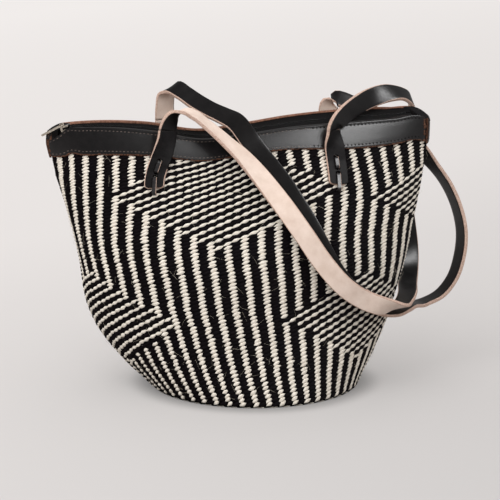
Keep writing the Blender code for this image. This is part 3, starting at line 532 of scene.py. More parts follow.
def spindles(line, normal, half_width, height, root):
    """Half spindles: across is width x taper x sin, up is height x taper x cos, less the root."""
    along = unit(np.gradient(line, axis=1))
    across = unit(np.cross(normal, along))
    s = np.linspace(-1, 1, line.shape[1])
    slim = (1 - np.abs(s) ** TAPER_POWER * TAPER_SHARE)[None, :, None]
    lift = (1 - np.abs(s) ** TAPER_POWER)[None, :, None]
    phi = np.linspace(-np.pi / 2, np.pi / 2, PROFILE)
    side = half_width[:, None, None] * slim * np.sin(phi)
    rise = height[:, None, None] * lift * np.cos(phi) - root
    return line[:, :, None] + across[:, :, None] * side[..., None] + normal[:, :, None] * rise[..., None]


STITCH_FACES = grid_faces(STATIONS, PROFILE)
print("faces in a stitch:", len(STITCH_FACES))

# %% [markdown]
# ## The wall's stitches
# The pale weft is slack and lies short and round; the black one is pulled tight and fills
# more of its row. Small random changes of length, rise, place and thickness keep the rows
# from looking machine-made. Each stitch gets its own patch of the fibre pattern.

# %% The wall's stitches
PALE_REACH = 0.62
BLACK_REACH = 0.80
PALE_FILL = 1.14
BLACK_FILL = 1.36
STITCH_RISE = 0.6
STITCH_HEIGHT = 1.6 * MM
STITCH_ROOT = 1.0 * MM
LOWEST_STITCH_SHARE = 0.004
HIGHEST_STITCH_SHARE = 0.995
PATCH_LENGTH = 10 * MM
PATCH_WIDTH = 4 * MM
# How much stitches differ: in reach, rise, place along and across the row, width and height
REACH_SPREAD, RISE_SPREAD, WARP_SPREAD, ROW_SPREAD, WIDTH_SPREAD, HEIGHT_SPREAD = (
    0.05, 0.15, 0.04, 0.05, 0.06, 0.08)
NORMAL_WARP_STEP = 0.05
NORMAL_ROW_STEP = 0.002
rng = np.random.default_rng(7)


def settle(made, body, node=None):
    """Say which body a piece rides on and which CAD piece it is shown for."""
    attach(made, body)
    if node:
        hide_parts(node)
    return made


def surface_normals(warp, row_share):
    """Outward directions: the cross product of short steps to the right and up on the weave."""
    dw, dr = NORMAL_WARP_STEP, NORMAL_ROW_STEP
    right = weave_place(warp + dw, row_share) - weave_place(warp - dw, row_share)
    up = weave_place(warp, row_share + dr) - weave_place(warp, row_share - dr)
    return unit(np.cross(right, up))


def add_stitches(name, points, look):
    """Many spindles as one mesh; each one's UV patch starts at a random place of the pattern."""
    count = len(points)
    u = np.linspace(0, PATCH_LENGTH, STATIONS)[None, :, None] + rng.random((count, 1, 1))
    v = np.linspace(0, PATCH_WIDTH, PROFILE)[None, None, :] + rng.random((count, 1, 1))
    faces = repeated_faces(count, STITCH_FACES, STATIONS * PROFILE)
    made = build(name, points, faces, look, uv=np.stack(np.broadcast_arrays(u, v), -1))
    print(name, "faces:", len(faces))
    return made


def wall_stitches(name, chosen, look, half_reach, fill):
    """The wall's stitches of one colour: each runs from its warp less its reach to its warp plus it."""
    warp, row = warp_ids[chosen].astype(float), row_ids[chosen]
    count = len(warp)
    share = row_shares[row]
    pitch = row_pitch(share)
    s = np.linspace(-1, 1, STATIONS)
    reach = half_reach * rng.normal(1, REACH_SPREAD, count)
    rise = STITCH_RISE * rng.normal(1, RISE_SPREAD, count)
    w = warp[:, None] + rng.normal(0, WARP_SPREAD, count)[:, None] + reach[:, None] * s
    r = share[:, None] + pitch[:, None] * (rng.normal(0, ROW_SPREAD, count)[:, None] + rise[:, None] * s)
    r = np.clip(r, LOWEST_STITCH_SHARE, HIGHEST_STITCH_SHARE)
    half_width = pitch * HEIGHT / 2 * fill * rng.normal(1, WIDTH_SPREAD, count)
    height = STITCH_HEIGHT * rng.normal(1, HEIGHT_SPREAD, count)
    points = spindles(weave_place(w, r), surface_normals(w, r), half_width, height, STITCH_ROOT)
    return add_stitches(name, points, look)


pale_stitches = wall_stitches("pale_stitches", pale, PALE_SISAL, PALE_REACH, PALE_FILL)
black_stitches = wall_stitches("black_stitches", ~pale, BLACK_SISAL, BLACK_REACH, BLACK_FILL)
settle(pale_stitches, "basket", "woven_basket")
settle(black_stitches, "basket")

# %% [markdown]
# ## Behind the stitches
# Between the stitches only shade shows. The real warps could be drawn as 100 cords, but no eye reaches
# them, so one plain near-black sheet just under the stitches stands for them: its colour is painted shade.
# It closes the wall, up inside the rim and across the base, so the inside of the bag is painted shade too.

# %% The wall behind
BACK_DEPTH = 0.9 * MM
BACK_COLUMNS = 201
BACK_ROW_SHARES = np.r_[np.linspace(0.004, 0.93, 60), 0.96, 0.985]
BASE_SHEET_SHARES = np.linspace(0.97, 0.02, 12)[:, None, None]
FLOOR_INSIDE = 4 * MM
FLAT = np.array((1, 1, 0))

w_grid, r_grid = np.meshgrid(np.linspace(0, WARPS, BACK_COLUMNS), BACK_ROW_SHARES)
outer = weave_place(w_grid, r_grid, -BACK_DEPTH)
inner = weave_place(w_grid, r_grid, -WALL_THICKNESS)[::-1]
under = outer[:1] * FLAT * BASE_SHEET_SHARES[::-1] + np.array((0, 0, BACK_DEPTH))
floor_inside = inner[-1:] * FLAT * BASE_SHEET_SHARES + np.array((0, 0, FLOOR_INSIDE))
shell = np.concatenate([under, outer, inner, floor_inside])
# The sheet's near-black is painted shade, outside between the stitches and all over the inside.
wall_behind = build("wall_behind", shell, grid_faces(*shell.shape[:2]), PAINTED_SHADE_SHEET)
settle(wall_behind, "basket")
print("points across and up the sheet:", shell.shape[1], shell.shape[0])

# %% [markdown]
# ## The base
# Under the bag the rows run in rings, and the warps part as they go out: there are half as
# many inside half the radius, and a quarter inside a quarter of it. The stripes of the wall
# carry on inwards. These stitches are flat, as the bag's weight presses them.

# %% The base's stitches
BASE_ROW_PITCH = 3.9 * MM
RINGS = 26
FIRST_RING_SHARE = 0.45


def warps_at(radius):
    """How many warps a ring crosses: all of them, half or a quarter, by its radius."""
    return WARPS if radius > BASE_RADIUS / 2 else WARPS // 2 if radius > BASE_RADIUS / 4 else WARPS // 4


def base_stitches(name, odd, look):
    """The base's stitches of one colour: each is a short piece of a spiral, x = r cos, y = r sin."""
    s = np.linspace(-1, 1, STATIONS)
    lines = []
    for ring in range(RINGS):
        radius = BASE_RADIUS - BASE_ROW_PITCH * (ring + FIRST_RING_SHARE)
        warps = warps_at(radius)
        middle = np.arange(odd, warps, 2)[:, None] + WARP_OFFSET + LEAN_LEFT[0]
        turn = np.pi + 2 * np.pi * (middle + BLACK_REACH * s) / warps
        reach = radius + BASE_ROW_PITCH * STITCH_RISE * s
        level = np.full(turn.shape, STITCH_ROOT)
        lines.append(np.stack([reach * np.cos(turn), reach * np.sin(turn), level], -1))
    line = np.concatenate(lines)
    down = np.broadcast_to((0.0, 0.0, -1.0), line.shape)
    half_width = np.full(len(line), BASE_ROW_PITCH / 2 * BLACK_FILL)
    points = spindles(line, down, half_width, np.full(len(line), STITCH_ROOT), 0.0)
    points[..., 2] = np.maximum(points[..., 2], 0)
    settle(add_stitches(name, points, look), "basket")


base_stitches("base_pale_stitches", 1, PALE_SISAL)
base_stitches("base_black_stitches", 0, BLACK_SISAL)

# %% [markdown]
# ## The rim bands
# Each band is a strip of black leather folded over the weave's edge and sewn through. It
# follows the weave, so it is drawn from the wall's formula and not bent by a modifier. The
# front band is lower in the middle, where the bag sags, and the rear band runs round the
# right corner, where the front band's cut end butts against it.

# %% Where the bands run
BAND_STEPS = 260
BAND_HEIGHT = 0.0245
# How much of its height each band keeps along the mouth, from left to right
BAND_PLACE_SHARES = (0.0, 0.015, 0.03, 0.06, 0.14, 0.28, 0.43, 0.60, 0.68, 0.81, 0.94, 1.0)
FRONT_HEIGHT_SHARES = (0.58, 0.68, 0.82, 1.0, 1.03, 0.9, 0.77, 0.77, 0.87, 1.0, 0.98, 0.98)
REAR_HEIGHT_SHARES = (0.75, 0.8, 0.9, 1.0, 1.0, 1.0, 1.0, 1.0, 1.0, 1.0, 1.0, 1.0)
# The angles that the bands run between, and the sine over which the rear one crosses over
FRONT_TURNS = (np.pi + 0.12, 2 * np.pi - 0.24)
REAR_TURNS = (-0.14, np.pi + 0.05)
BAND_CROSSING = -0.13
FINE_TURNS = 2000


def band_height(x, rear):
    """How high a band is at a place: its full height times the table's share there."""
    shares = REAR_HEIGHT_SHARES if rear else FRONT_HEIGHT_SHARES
    return BAND_HEIGHT * smooth_between(BAND_PLACE_SHARES, shares, mouth_share(x))


def band_turns(rear, steps):
    """Angles along one band at equal distances, looked up by distance, and the band's length."""
    fine = np.linspace(*(REAR_TURNS if rear else FRONT_TURNS), FINE_TURNS)
    run = distances(np.stack(outline(fine, np.ones(FINE_TURNS)), 1))
    return np.interp(np.linspace(0, run[-1], steps), run, fine), run[-1]


def band_place(theta, rear, out, drop_share, drop=0.0):
    """A point on a band: out from the weave, and below the rim by a share of the band and a drop."""
    top_x, _ = outline(theta, np.ones_like(theta))
    crossed = ease((np.sin(theta) - BAND_CROSSING) / (-2 * BAND_CROSSING)) if rear else 0 * theta
    top = rim_height(top_x, False) * (1 - crossed) + rim_height(top_x, True) * crossed
    z = top - drop - band_height(top_x, rear) * drop_share
    woven = wall_height(top_x, np.sin(theta) > 0)
    x, y = outline(theta, np.clip(z / woven, 0, 1), out)
    return np.stack([x, y, z], -1)


print("band lengths, mm:", [round(float(band_turns(rear, 2)[1]) / MM) for rear in (False, True)])

# %% [markdown]
# ## The bands' section
# The section is a line of points up the outside, over the fold and down the inside, with
# the same line one leather's thickness in. The seams lie in shallow grooves, and the
# leather swells a little between them. Its colours change along the mouth: the rear band's
# fold is worn brown, except round the two corners.

# %% The bands' section
BAND_INNER_HEIGHT = 0.014
WALL_LEAN_SHARE = 7 / 6
BAND_IN = WALL_THICKNESS * WALL_LEAN_SHARE + TOUCH_GAP + BAND_LEATHER
SEAM_INSET = 3 * MM
GROOVE = 0.18 * MM
LEAF_SHARES = (0.0, 0.05, 0.10, 0.14, 0.20, 0.35, 0.5, 0.65, 0.80, 0.86, 0.90, 0.95, 0.985)
INSIDE_SHARES = (0.03, 0.12, 0.3, 0.5, 0.7, 0.85, 1.0)
FOLD_DROP = BAND_LEATHER / 12
# The order of a band's finishes, and where along the mouth each stretch of them ends
BAND_LOOKS = [BAND_BLACK, RAW_EDGE, BAND_INSIDE, RAW_TOP]
IS_GRAIN, IS_CUT, IS_LINING, IS_WORN = range(4)
BLACK_TO = -MOUTH_LEFT_REACH * 0.935
WIDE_RAW_TO = -MOUTH_LEFT_REACH * 0.35
RAW_TO = MOUTH_RIGHT_REACH * 0.9


def band_section():
    """The section as (out, drop share, drop): the groove is a bell curve, the swell a half sine."""
    over, under, kinds = [], [], []
    for share in LEAF_SHARES:
        from_edge = min(share, 1 - share) * BAND_HEIGHT
        groove = GROOVE * np.exp(-((from_edge - SEAM_INSET) / MM) ** 2)
        swell = GROOVE * np.sin(np.pi * share)
        round_off = BAND_LEATHER / 4 * np.exp(-from_edge * 2 / MM)
        over.append((BAND_OUT - groove + swell - round_off, 1 - share, 0.0))
        under.append((TOUCH_GAP, 1 - share, BAND_LEATHER * ease(share * 2 - 1)))
        kinds.append("leaf")
    for out, drop in ((BAND_OUT - BAND_LEATHER / 2, FOLD_DROP), (-BAND_IN / 2, 0.0),
                      (BAND_LEATHER / 2 - BAND_IN, FOLD_DROP)):
        over.append((out, 0.0, drop))
        under.append((min(max(out, BAND_LEATHER - BAND_IN), TOUCH_GAP), 0.0, BAND_LEATHER))
        kinds.append("fold")
    for share in INSIDE_SHARES:
        down = share * BAND_INNER_HEIGHT / BAND_HEIGHT
        over.append((-BAND_IN, down, 0.0))
        under.append((BAND_LEATHER - BAND_IN, down, BAND_LEATHER * (1 - share)))
        kinds.append("fold" if share < INSIDE_SHARES[1] else "inside")
    return over, under, kinds


def band_slots(kinds, rear, x):
    """The finish of each face round the section, for each step along the mouth by its place x."""
    finishes = {"leaf": IS_GRAIN, "fold": IS_WORN if rear else IS_GRAIN, "inside": IS_LINING}
    middle = [finishes[kind] for kind in kinds[:-1]]
    corner, left, right = list(middle), list(middle), list(middle)
    if rear:
        first, last = kinds.index("fold"), kinds.index("inside")
        corner[first:last + 1] = [IS_GRAIN] * (last + 1 - first)
        left[last] = IS_WORN
        right[first:last] = [IS_LINING] * (last - first)
    rest = [IS_CUT] + [IS_LINING] * len(middle) + [IS_CUT]
    stretches = ((BLACK_TO, corner), (WIDE_RAW_TO, left), (RAW_TO, middle), (MOUTH_LENGTH, right))
    return np.concatenate([next(row for end, row in stretches if place < end) + rest for place in x])


print("points in a band's section:", 2 * len(band_section()[0]))

# %% [markdown]
# ## Making the bands
# The section is swept along the wall, one ring of points for each step, and the two cut
# ends are closed. Sweeping arrays of points keeps each face's finish under control, which
# a curve with a bevel would not.


# %% The bands
def add_band(name, rear):
    """One rim band: the section's points at each angle, joined ring to ring, with its cut ends."""
    theta, length = band_turns(rear, BAND_STEPS)
    over, under, kinds = band_section()
    section = over + under[::-1]
    points = np.stack([band_place(theta, rear, *where) for where in section], 1)
    count = len(section)
    top_x, _ = outline(theta[1:], np.ones(BAND_STEPS - 1))
    end = np.array([(i, i + 1, count - 2 - i, count - 1 - i) for i in range(len(over) - 1)])
    rings = grid_faces(BAND_STEPS, count, closed=True)
    quads = np.concatenate([rings, end, end + (BAND_STEPS - 1) * count])
    slots = np.r_[band_slots(kinds, rear, top_x), np.full(2 * len(end), IS_CUT)]
    made = build(name + "_band", points, quads, BAND_LOOKS, slots=slots)
    settle(made, "basket", name + "_rim_band")
    print(name, "band length, mm:", round(length / MM))


add_band("front", False)
add_band("rear", True)

# %% [markdown]
# ## Raw edges
# The bag's leather is cut, not turned in, so every edge is raw and brown and frays a
# little. A noise texture would leave it straight at the outline, so a thin rough cord of
# brown follows each edge, its place and thickness wandering from step to step.

# %% Raw edges
CORD_SIDES = 6
CORD_WANDER = 0.45
CORD_SWELL = 0.5
CORD_SPREAD = 0.12
LOWER_EDGE_STEPS = 780
LOWER_EDGE_RADIUS = BAND_LEATHER * 0.42
END_EDGE_STEPS = 30
FRONT_END_RADIUS = BAND_LEATHER * 0.8
REAR_END_RADIUS = BAND_LEATHER * 0.55
UPRIGHT = 0.9


def rough_cord(name, line, radius):
    """A rough cord: its middle and radius wander by the mean of five random steps in a row."""
    count = len(line)
    wander = rng.normal(0, 1, (count + 4, 3))
    wander = (wander[:-4] + wander[1:-3] + wander[2:-2] + wander[3:-1] + wander[4:]) / 5
    line = line + wander * radius * CORD_WANDER
    size = radius * (1 + CORD_SWELL * wander[:, 0] + rng.normal(0, CORD_SPREAD, count))
    along = unit(np.gradient(line, axis=0))
    helper = np.where(np.abs(along[:, 2:]) > UPRIGHT, (1.0, 0.0, 0.0), (0.0, 0.0, 1.0))
    a = unit(np.cross(along, helper))
    points = tube(line, size, a, np.cross(along, a), CORD_SIDES)
    made = build(name, points, grid_faces(count, CORD_SIDES, closed=True), RAW_EDGE)
    settle(made, "basket")


def add_raw_edges(name, rear):
    """The cut edges of one band: a cord along its lower edge and one up each end."""
    theta, _ = band_turns(rear, LOWER_EDGE_STEPS)
    middle = BAND_OUT - BAND_LEATHER / 2
    lower = band_place(theta, rear, middle, 1.0)
    rough_cord(name + "_lower_edge", lower, LOWER_EDGE_RADIUS)
    shares = np.linspace(0.0, 1.0, END_EDGE_STEPS)
    radius = REAR_END_RADIUS if rear else FRONT_END_RADIUS
    for place, end in zip(("right", "left"), theta[[0, -1]] if rear else theta[[-1, 0]]):
        up = band_place(np.full(END_EDGE_STEPS, end), rear, middle, shares)
        rough_cord(f"{name}_{place}_end", up, radius)
    print(name, "lower edge, mm:", round(float(distances(lower)[-1]) / MM))


add_raw_edges("front", False)
add_raw_edges("rear", True)

# %% [markdown]
# ## The left corner
# A scrap of black leather closes the mouth's left end between the two bands, and its tip is
# brown where it was cut. It is a small curved sheet: its half width follows a square root,
# which rounds the tip.

# %% The left corner
CORNER_FROM = -MOUTH_LEFT_REACH * 1.003
CORNER_TO = -MOUTH_LEFT_REACH * 0.955
CORNER_TIP = -MOUTH_LEFT_REACH * 1.004
CORNER_BROWN_TO = -MOUTH_LEFT_REACH * 0.985
CORNER_ROUND = 2.6 * MM
CORNER_SINK = 1.2 * MM
CORNER_STEPS = 12
CORNER_POINTS = 9


def thick_sheet(over, thickness):
    """A sheet's upper points followed by the same points one thickness lower, in turned order."""
    return np.concatenate([over, (over - np.array((0, 0, thickness)))[:, ::-1]], 1)


def add_corner():
    """The corner's scrap: half width = root of the distance from the tip times its roundness."""
    x = np.linspace(CORNER_FROM, CORNER_TO, CORNER_STEPS)
    share = np.linspace(0, 1, CORNER_POINTS)
    half = np.clip(np.sqrt(np.clip(x - CORNER_TIP, 0, None) * CORNER_ROUND), MM, None)
    y = half[:, None] * (2 * share - 1)
    front, rear = rim_height(x, False), rim_height(x, True)
    z = front[:, None] * (1 - share) + rear[:, None] * share - CORNER_SINK
    points = thick_sheet(np.stack(np.broadcast_arrays(x[:, None], y, z), -1), BAND_LEATHER)
    faces = grid_faces(CORNER_STEPS, points.shape[1], closed=True)
    is_black = np.repeat(x[1:] > CORNER_BROWN_TO, points.shape[1])
    made = build("left_corner", points, faces, [RAW_EDGE, BAND_BLACK], slots=is_black)
    settle(made, "basket")
    print("corner width, mm:", round(float(2 * half[-1]) / MM, 1))


add_corner()

# %% [markdown]
# ## The zip's tapes
# Two cloth tapes reach in from the bands to the coils in the middle. Each is a thin sheet
# that sags a little between its sewn edge and the coil. A flat strip would catch the light
# evenly and look like card.

# %% The zip's tapes
TAPE_STEPS = 120
TAPE_POINTS = 9
TAPE_RECESS = 0.002
TAPE_THICKNESS = 0.7 * MM
TAPE_SAG = 0.8 * MM
TAPE_LEFT_SHARE = 0.0545
TAPE_RIGHT_SHARE = 0.955
COIL_RADIUS = 0.0011
COIL_MIDDLE = TOUCH_GAP + COIL_RADIUS
TAPE_INNER_EDGE = COIL_MIDDLE + COIL_RADIUS + TOUCH_GAP


def zip_height(x):
    """Height of the zip's middle line: the mean of the two rims there, less the recess."""
    return (rim_height(x, False) + rim_height(x, True)) / 2 - TAPE_RECESS


def mouth_y(x, rear):
    """How far from the middle a band's inner face is: depth x (1 - c squared) to the end's power."""
    left, right, depth = level_sizes(1.0)
    left = left - BAND_IN * END_GROWTH_SHARE
    right = right - BAND_IN * END_GROWTH_SHARE
    depth = depth - BAND_IN
    c = np.clip((x - (right - left) / 2) / ((right + left) / 2), -1, 1)
    return depth * (1 - c * c) ** end_power(1.0, c, rear)


def add_tape(name, rear):
    """One tape: straight across from the coil out to the band, less a half sine of sag."""
    x = MOUTH_LENGTH * np.linspace(TAPE_LEFT_SHARE, TAPE_RIGHT_SHARE, TAPE_STEPS) - MOUTH_LEFT_REACH
    outer_y = np.maximum(mouth_y(x, rear) - TOUCH_GAP, TAPE_INNER_EDGE + MM)
    shares = np.linspace(0, 1, TAPE_POINTS)
    y = TAPE_INNER_EDGE + (outer_y - TAPE_INNER_EDGE)[:, None] * shares
    edge_z = rim_height(x, rear) - TAPE_RECESS
    sag = TAPE_SAG * np.sin(np.pi * shares) * np.minimum((outer_y / MOUTH_HALF_WIDTH)[:, None] * 2, 1)
    z = zip_height(x)[:, None] * (1 - shares) + edge_z[:, None] * shares - sag
    over = np.stack(np.broadcast_arrays(x[:, None], y if rear else -y, z), -1)
    points = thick_sheet(over, TAPE_THICKNESS)
    made = build(name, points, grid_faces(TAPE_STEPS, points.shape[1], closed=True), TAPE_BLACK)
    settle(made, "basket", name)
    print(name, "is at most", round(float((outer_y - TAPE_INNER_EDGE).max()) / MM, 1), "mm wide")


add_tape("front_zip_tape", False)
add_tape("rear_zip_tape", True)

# %% [markdown]
# ## The zip's coils
# A nylon zip is two threads wound round and round, which lie closed along the middle. A
# rod with a striped texture would look smooth from the side, so here every turn is one
# small ring, pressed to an oval and leaning a little, and the rear coil's turns lie between
# the front one's.

# %% The zip's coils
COIL_LEFT_SHARE = 0.0541
COIL_RIGHT_SHARE = 0.945
COIL_PITCH = 1.3 * MM
COIL_THREAD = 0.45 * MM
COIL_LEAN = 0.3 * MM
RING_POINTS = 8
THREAD_POINTS = 4


def add_coil(name, side):
    """One coil: rings whose reach times cos and sin of the turn gives y and z, leaning in x."""
    x0 = COIL_LEFT_SHARE * MOUTH_LENGTH - MOUTH_LEFT_REACH + COIL_PITCH / 2
    x1 = COIL_RIGHT_SHARE * MOUTH_LENGTH - MOUTH_LEFT_REACH - COIL_PITCH / 2
    x = np.arange(x0, x1, COIL_PITCH) + (COIL_PITCH / 2 if side > 0 else 0)
    turn = (np.arange(RING_POINTS) * 2 * np.pi / RING_POINTS)[:, None]
    round_thread = np.arange(THREAD_POINTS) * 2 * np.pi / THREAD_POINTS
    reach = COIL_RADIUS - COIL_THREAD / 2 + COIL_THREAD / 2 * np.cos(round_thread)
    px = x[:, None, None] + COIL_THREAD / 2 * np.sin(round_thread) + COIL_LEAN * np.cos(turn)
    py = side * COIL_MIDDLE + reach * np.cos(turn)
    pz = zip_height(x)[:, None, None] + reach * np.sin(turn)
    points = np.stack(np.broadcast_arrays(px, py, pz), -1)
    here = np.arange(THREAD_POINTS)
    beside = (here + 1) % THREAD_POINTS
    last = (RING_POINTS - 1) * THREAD_POINTS
    closing = np.stack([last + here, last + beside, beside, here], -1)
    ring = np.concatenate([grid_faces(RING_POINTS, THREAD_POINTS, closed=True), closing])
    quads = repeated_faces(len(x), ring, RING_POINTS * THREAD_POINTS)
    settle(build(name, points, quads, COIL_BLACK), "basket", name)
    print(name, "turns:", len(x))


add_coil("front_zip_coil", -1)
add_coil("rear_zip_coil", 1)

# %% [markdown]
# ## The slider and its pull
# Both are cast metal, and CAD has already shaped them. Cast edges are never sharp, so each
# is shown as a copy of its CAD piece with welded seams and its edges rounded by a bevel.

# %% The slider and its pull
WELD_WITHIN = MM / 100
CAST_ROUNDING = 0.25 * MM
ROUNDING_SEGMENTS = 3
EDGE_ANGLE = np.radians(30)


def eased_copy(node, body):
    """A copy of a CAD piece, in its place, whose edges sharper than an angle are rounded."""
    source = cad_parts[node]
    made = source.copy()
    made.data = source.data.copy()
    made.name = node + "_shown"
    for key in [k for k in made.keys() if k.startswith("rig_")]:
        del made[key]
    made.parent = None
    made.matrix_world = source.matrix_world.copy()
    bpy.context.scene.collection.objects.link(made)
    weld = made.modifiers.new("weld", "WELD")
    weld.merge_threshold = WELD_WITHIN
    rounding = made.modifiers.new("rounding", "BEVEL")
    rounding.width = CAST_ROUNDING
    rounding.segments = ROUNDING_SEGMENTS
    rounding.limit_method = "ANGLE"
    rounding.angle_limit = EDGE_ANGLE
    made.data.materials.clear()
    made.data.materials.append(PULL_METAL)
    made.hide_render = False
    settle(made, body, node)
    print(node, "faces before rounding:", len(made.data.polygons))


eased_copy("zip_slider", "basket")
eased_copy("zip_pull", "pull")

# %% [markdown]
# ## The strap loops
# Each handle is one long strap of leather, black on its grain side and pinkish on its flesh side, and it
# twists as it falls over the bag. The route is a listed line with the direction across the strap at each
# place, as shares of the mouth's length, the base's radius and the height. A curve object with a bevel
# could follow such a line too, but it couldn't be given its turn at each place or a finish for each face.

# %% Strap routes
FRONT_ROUTE_SHARES = (
    (-0.233, -0.356, 0.995, -0.85, -0.45, 0),
    (-0.226, -0.356, 1.030, -0.75, -0.6, 0),
    (-0.210, -0.346, 1.057, -0.65, -0.75, 0),
    (-0.187, -0.346, 1.064, -0.5, -0.85, 0),
    (-0.163, -0.346, 1.051, -0.35, -0.93, -0.1),
    (-0.133, -0.365, 1.019, -0.35, -0.93, -0.1),
    (-0.101, -0.423, 0.983, -0.4, -0.9, -0.15),
    (-0.075, -0.471, 0.951, -0.45, -0.87, -0.2),
    (-0.047, -0.529, 0.917, -0.55, -0.78, -0.3),
    (-0.020, -0.587, 0.877, -0.65, -0.65, -0.4),
    (0.007, -0.654, 0.833, -0.75, -0.5, -0.45),
    (0.033, -0.731, 0.788, -0.8, -0.35, -0.5),
    (0.069, -0.846, 0.723, -0.8, -0.15, -0.6),
    (0.111, -0.942, 0.640, -0.78, 0, -0.62),
    (0.159, -0.990, 0.540, -0.78, 0, -0.62),
    (0.219, -0.995, 0.445, -0.75, 0, -0.65),
    (0.267, -0.952, 0.398, -0.62, 0, -0.78),
    (0.310, -0.923, 0.373, -0.65, 0.1, -0.75),
    (0.352, -0.817, 0.357, -0.9, 0.14, -0.28),
    (0.383, -0.519, 0.349, -0.97, 0.1, -0.14),
    (0.406, -0.183, 0.352, -1, 0.1, -0.14),
    (0.419, 0.154, 0.359, -1, 0.1, 0),
    (0.431, 0.404, 0.392, -1, 0, 0),
    (0.435, 0.500, 0.455, -0.95, -0.2, 0),
    (0.432, 0.529, 0.538, -0.85, -0.5, 0),
    (0.428, 0.534, 0.625, -0.65, -0.75, 0),
    (0.427, 0.529, 0.720, -0.35, -0.94, 0),
    (0.428, 0.500, 0.841, 0.05, -1, -0.1),
    (0.433, 0.442, 0.947, 0.3, -0.93, -0.2),
    (0.433, 0.365, 1.027, 0.2, -0.9, -0.35),
    (0.421, 0.298, 1.066, 0, -0.9, -0.4),
    (0.397, 0.240, 1.087, -0.1, -0.9, -0.35),
    (0.363, 0.163, 1.095, 0.2, -0.65, -0.7),
    (0.317, 0.058, 1.087, 0.25, -0.25, -0.9),
    (0.268, -0.135, 1.069, 0.26, 0.05, -0.96),
    (0.228, -0.308, 1.043, 0.33, 0.3, -0.88),
    (0.206, -0.370, 1.020, 0.52, 0.67, -0.42),
    (0.200, -0.365, 1.004, 0.6, 0.75, -0.08),
    (0.199, -0.356, 0.991, 0.6, 0.75, 0),
)
REAR_ROUTE_SHARES = (
    (-0.233, 0.346, 0.991, 1, 0.15, 0),
    (-0.233, 0.346, 1.045, 0.87, 0.4, 0.1),
    (-0.227, 0.322, 1.097, 0.85, 0.35, 0.4),
    (-0.210, 0.264, 1.117, 0.8, 0.4, 0.45),
    (-0.184, 0.192, 1.100, 0.7, 0.55, 0.4),
    (-0.155, 0.125, 1.074, 0.6, 0.6, 0.5),
    (-0.120, 0.029, 1.049, 0.6, 0.6, 0.5),
    (-0.085, -0.096, 1.032, 0.62, 0.55, 0.55),
    (-0.053, -0.240, 1.015, 0.7, 0.3, 0.64),
    (-0.021, -0.385, 0.960, 0.75, 0.15, 0.64),
    (0.011, -0.442, 0.898, 0.8, 0, 0.6),
    (0.037, -0.519, 0.854, 0.8, 0, 0.6),
    (0.061, -0.587, 0.811, 0.8, 0, 0.6),
    (0.091, -0.688, 0.746, 0.85, 0, 0.52),
    (0.121, -0.769, 0.678, 0.86, 0, 0.5),
    (0.149, -0.827, 0.604, 0.86, 0, 0.5),
    (0.183, -0.837, 0.515, 0.8, 0, 0.6),
    (0.221, -0.784, 0.439, 0.75, 0.05, 0.65),
    (0.272, -0.663, 0.377, 0.5, 0.35, 0.75),
    (0.325, -0.538, 0.328, 0, 0.8, 0.55),
    (0.357, -0.433, 0.307, -0.15, 0.95, 0.2),
    (0.389, -0.260, 0.297, -0.25, 0.95, 0),
    (0.419, -0.067, 0.294, -0.3, 0.95, 0),
    (0.459, 0.087, 0.286, -0.3, 0.95, 0),
    (0.507, 0.149, 0.313, -0.32, 0.95, 0),
    (0.541, 0.178, 0.371, -0.34, 0.94, -0.05),
    (0.561, 0.202, 0.455, -0.36, 0.93, -0.05),
    (0.567, 0.231, 0.549, -0.36, 0.93, -0.05),
    (0.555, 0.269, 0.638, -0.38, 0.92, 0),
    (0.528, 0.308, 0.727, -0.4, 0.9, -0.1),
    (0.485, 0.317, 0.811, -0.42, 0.85, -0.3),
    (0.429, 0.284, 0.894, -0.6, 0.3, -0.7),
    (0.371, 0.298, 0.968, -0.6, -0.2, -0.75),
    (0.317, 0.356, 1.008, -0.35, -0.6, -0.7),
    (0.275, 0.360, 1.040, -0.2, -0.75, -0.6),
    (0.243, 0.356, 1.059, -0.25, -0.75, -0.6),
    (0.222, 0.356, 1.063, -0.6, -0.6, -0.5),
    (0.209, 0.351, 1.048, -0.85, -0.4, -0.3),
    (0.205, 0.346, 1.022, -1, -0.1, 0),
    (0.205, 0.346, 0.991, -1, 0, 0),
)
ROUTE_SCALE = np.array((MOUTH_LENGTH, BASE_RADIUS, HEIGHT))
print("places on the routes:", len(FRONT_ROUTE_SHARES), len(REAR_ROUTE_SHARES))

# %% [markdown]
# ## A strap along a route
# The section of a strap is a flat bar with rounded edges, in three finishes: grain on one
# face, flesh on the other and the cut edge between. It is swept along the route, turned so
# that its width keeps the given direction. Its own edge direction is first made square to
# the route, or the strap would shear.

# %% A strap along a route
STRAP_WIDTH = 0.0195
STRAP_THICKNESS = 0.0036
STRAP_EASE = 0.8 * MM
FACE_POINTS = 7
ROUND_POINTS = 4
FINE_PER_STEP = 12
GRAIN, FLESH, CUT = range(3)


def route_frames(places, across, count):
    """Places at equal distances on a smooth route, with across made square to it, out and length."""
    places, across = np.asarray(places, float), np.asarray(across, float)
    steps = distances(places)
    fine = np.linspace(0, steps[-1], count * FINE_PER_STEP)
    line = smooth_between(steps, places, fine)
    run = distances(line)
    even = np.linspace(0, run[-1], count)
    middle = along_line(even, run, line)
    wide = along_line(even, run, smooth_between(steps, across, fine))
    along = unit(np.gradient(middle, axis=0))
    wide = unit(wide - np.sum(wide * along, 1)[:, None] * along)
    return middle, wide, np.cross(wide, along), run[-1]


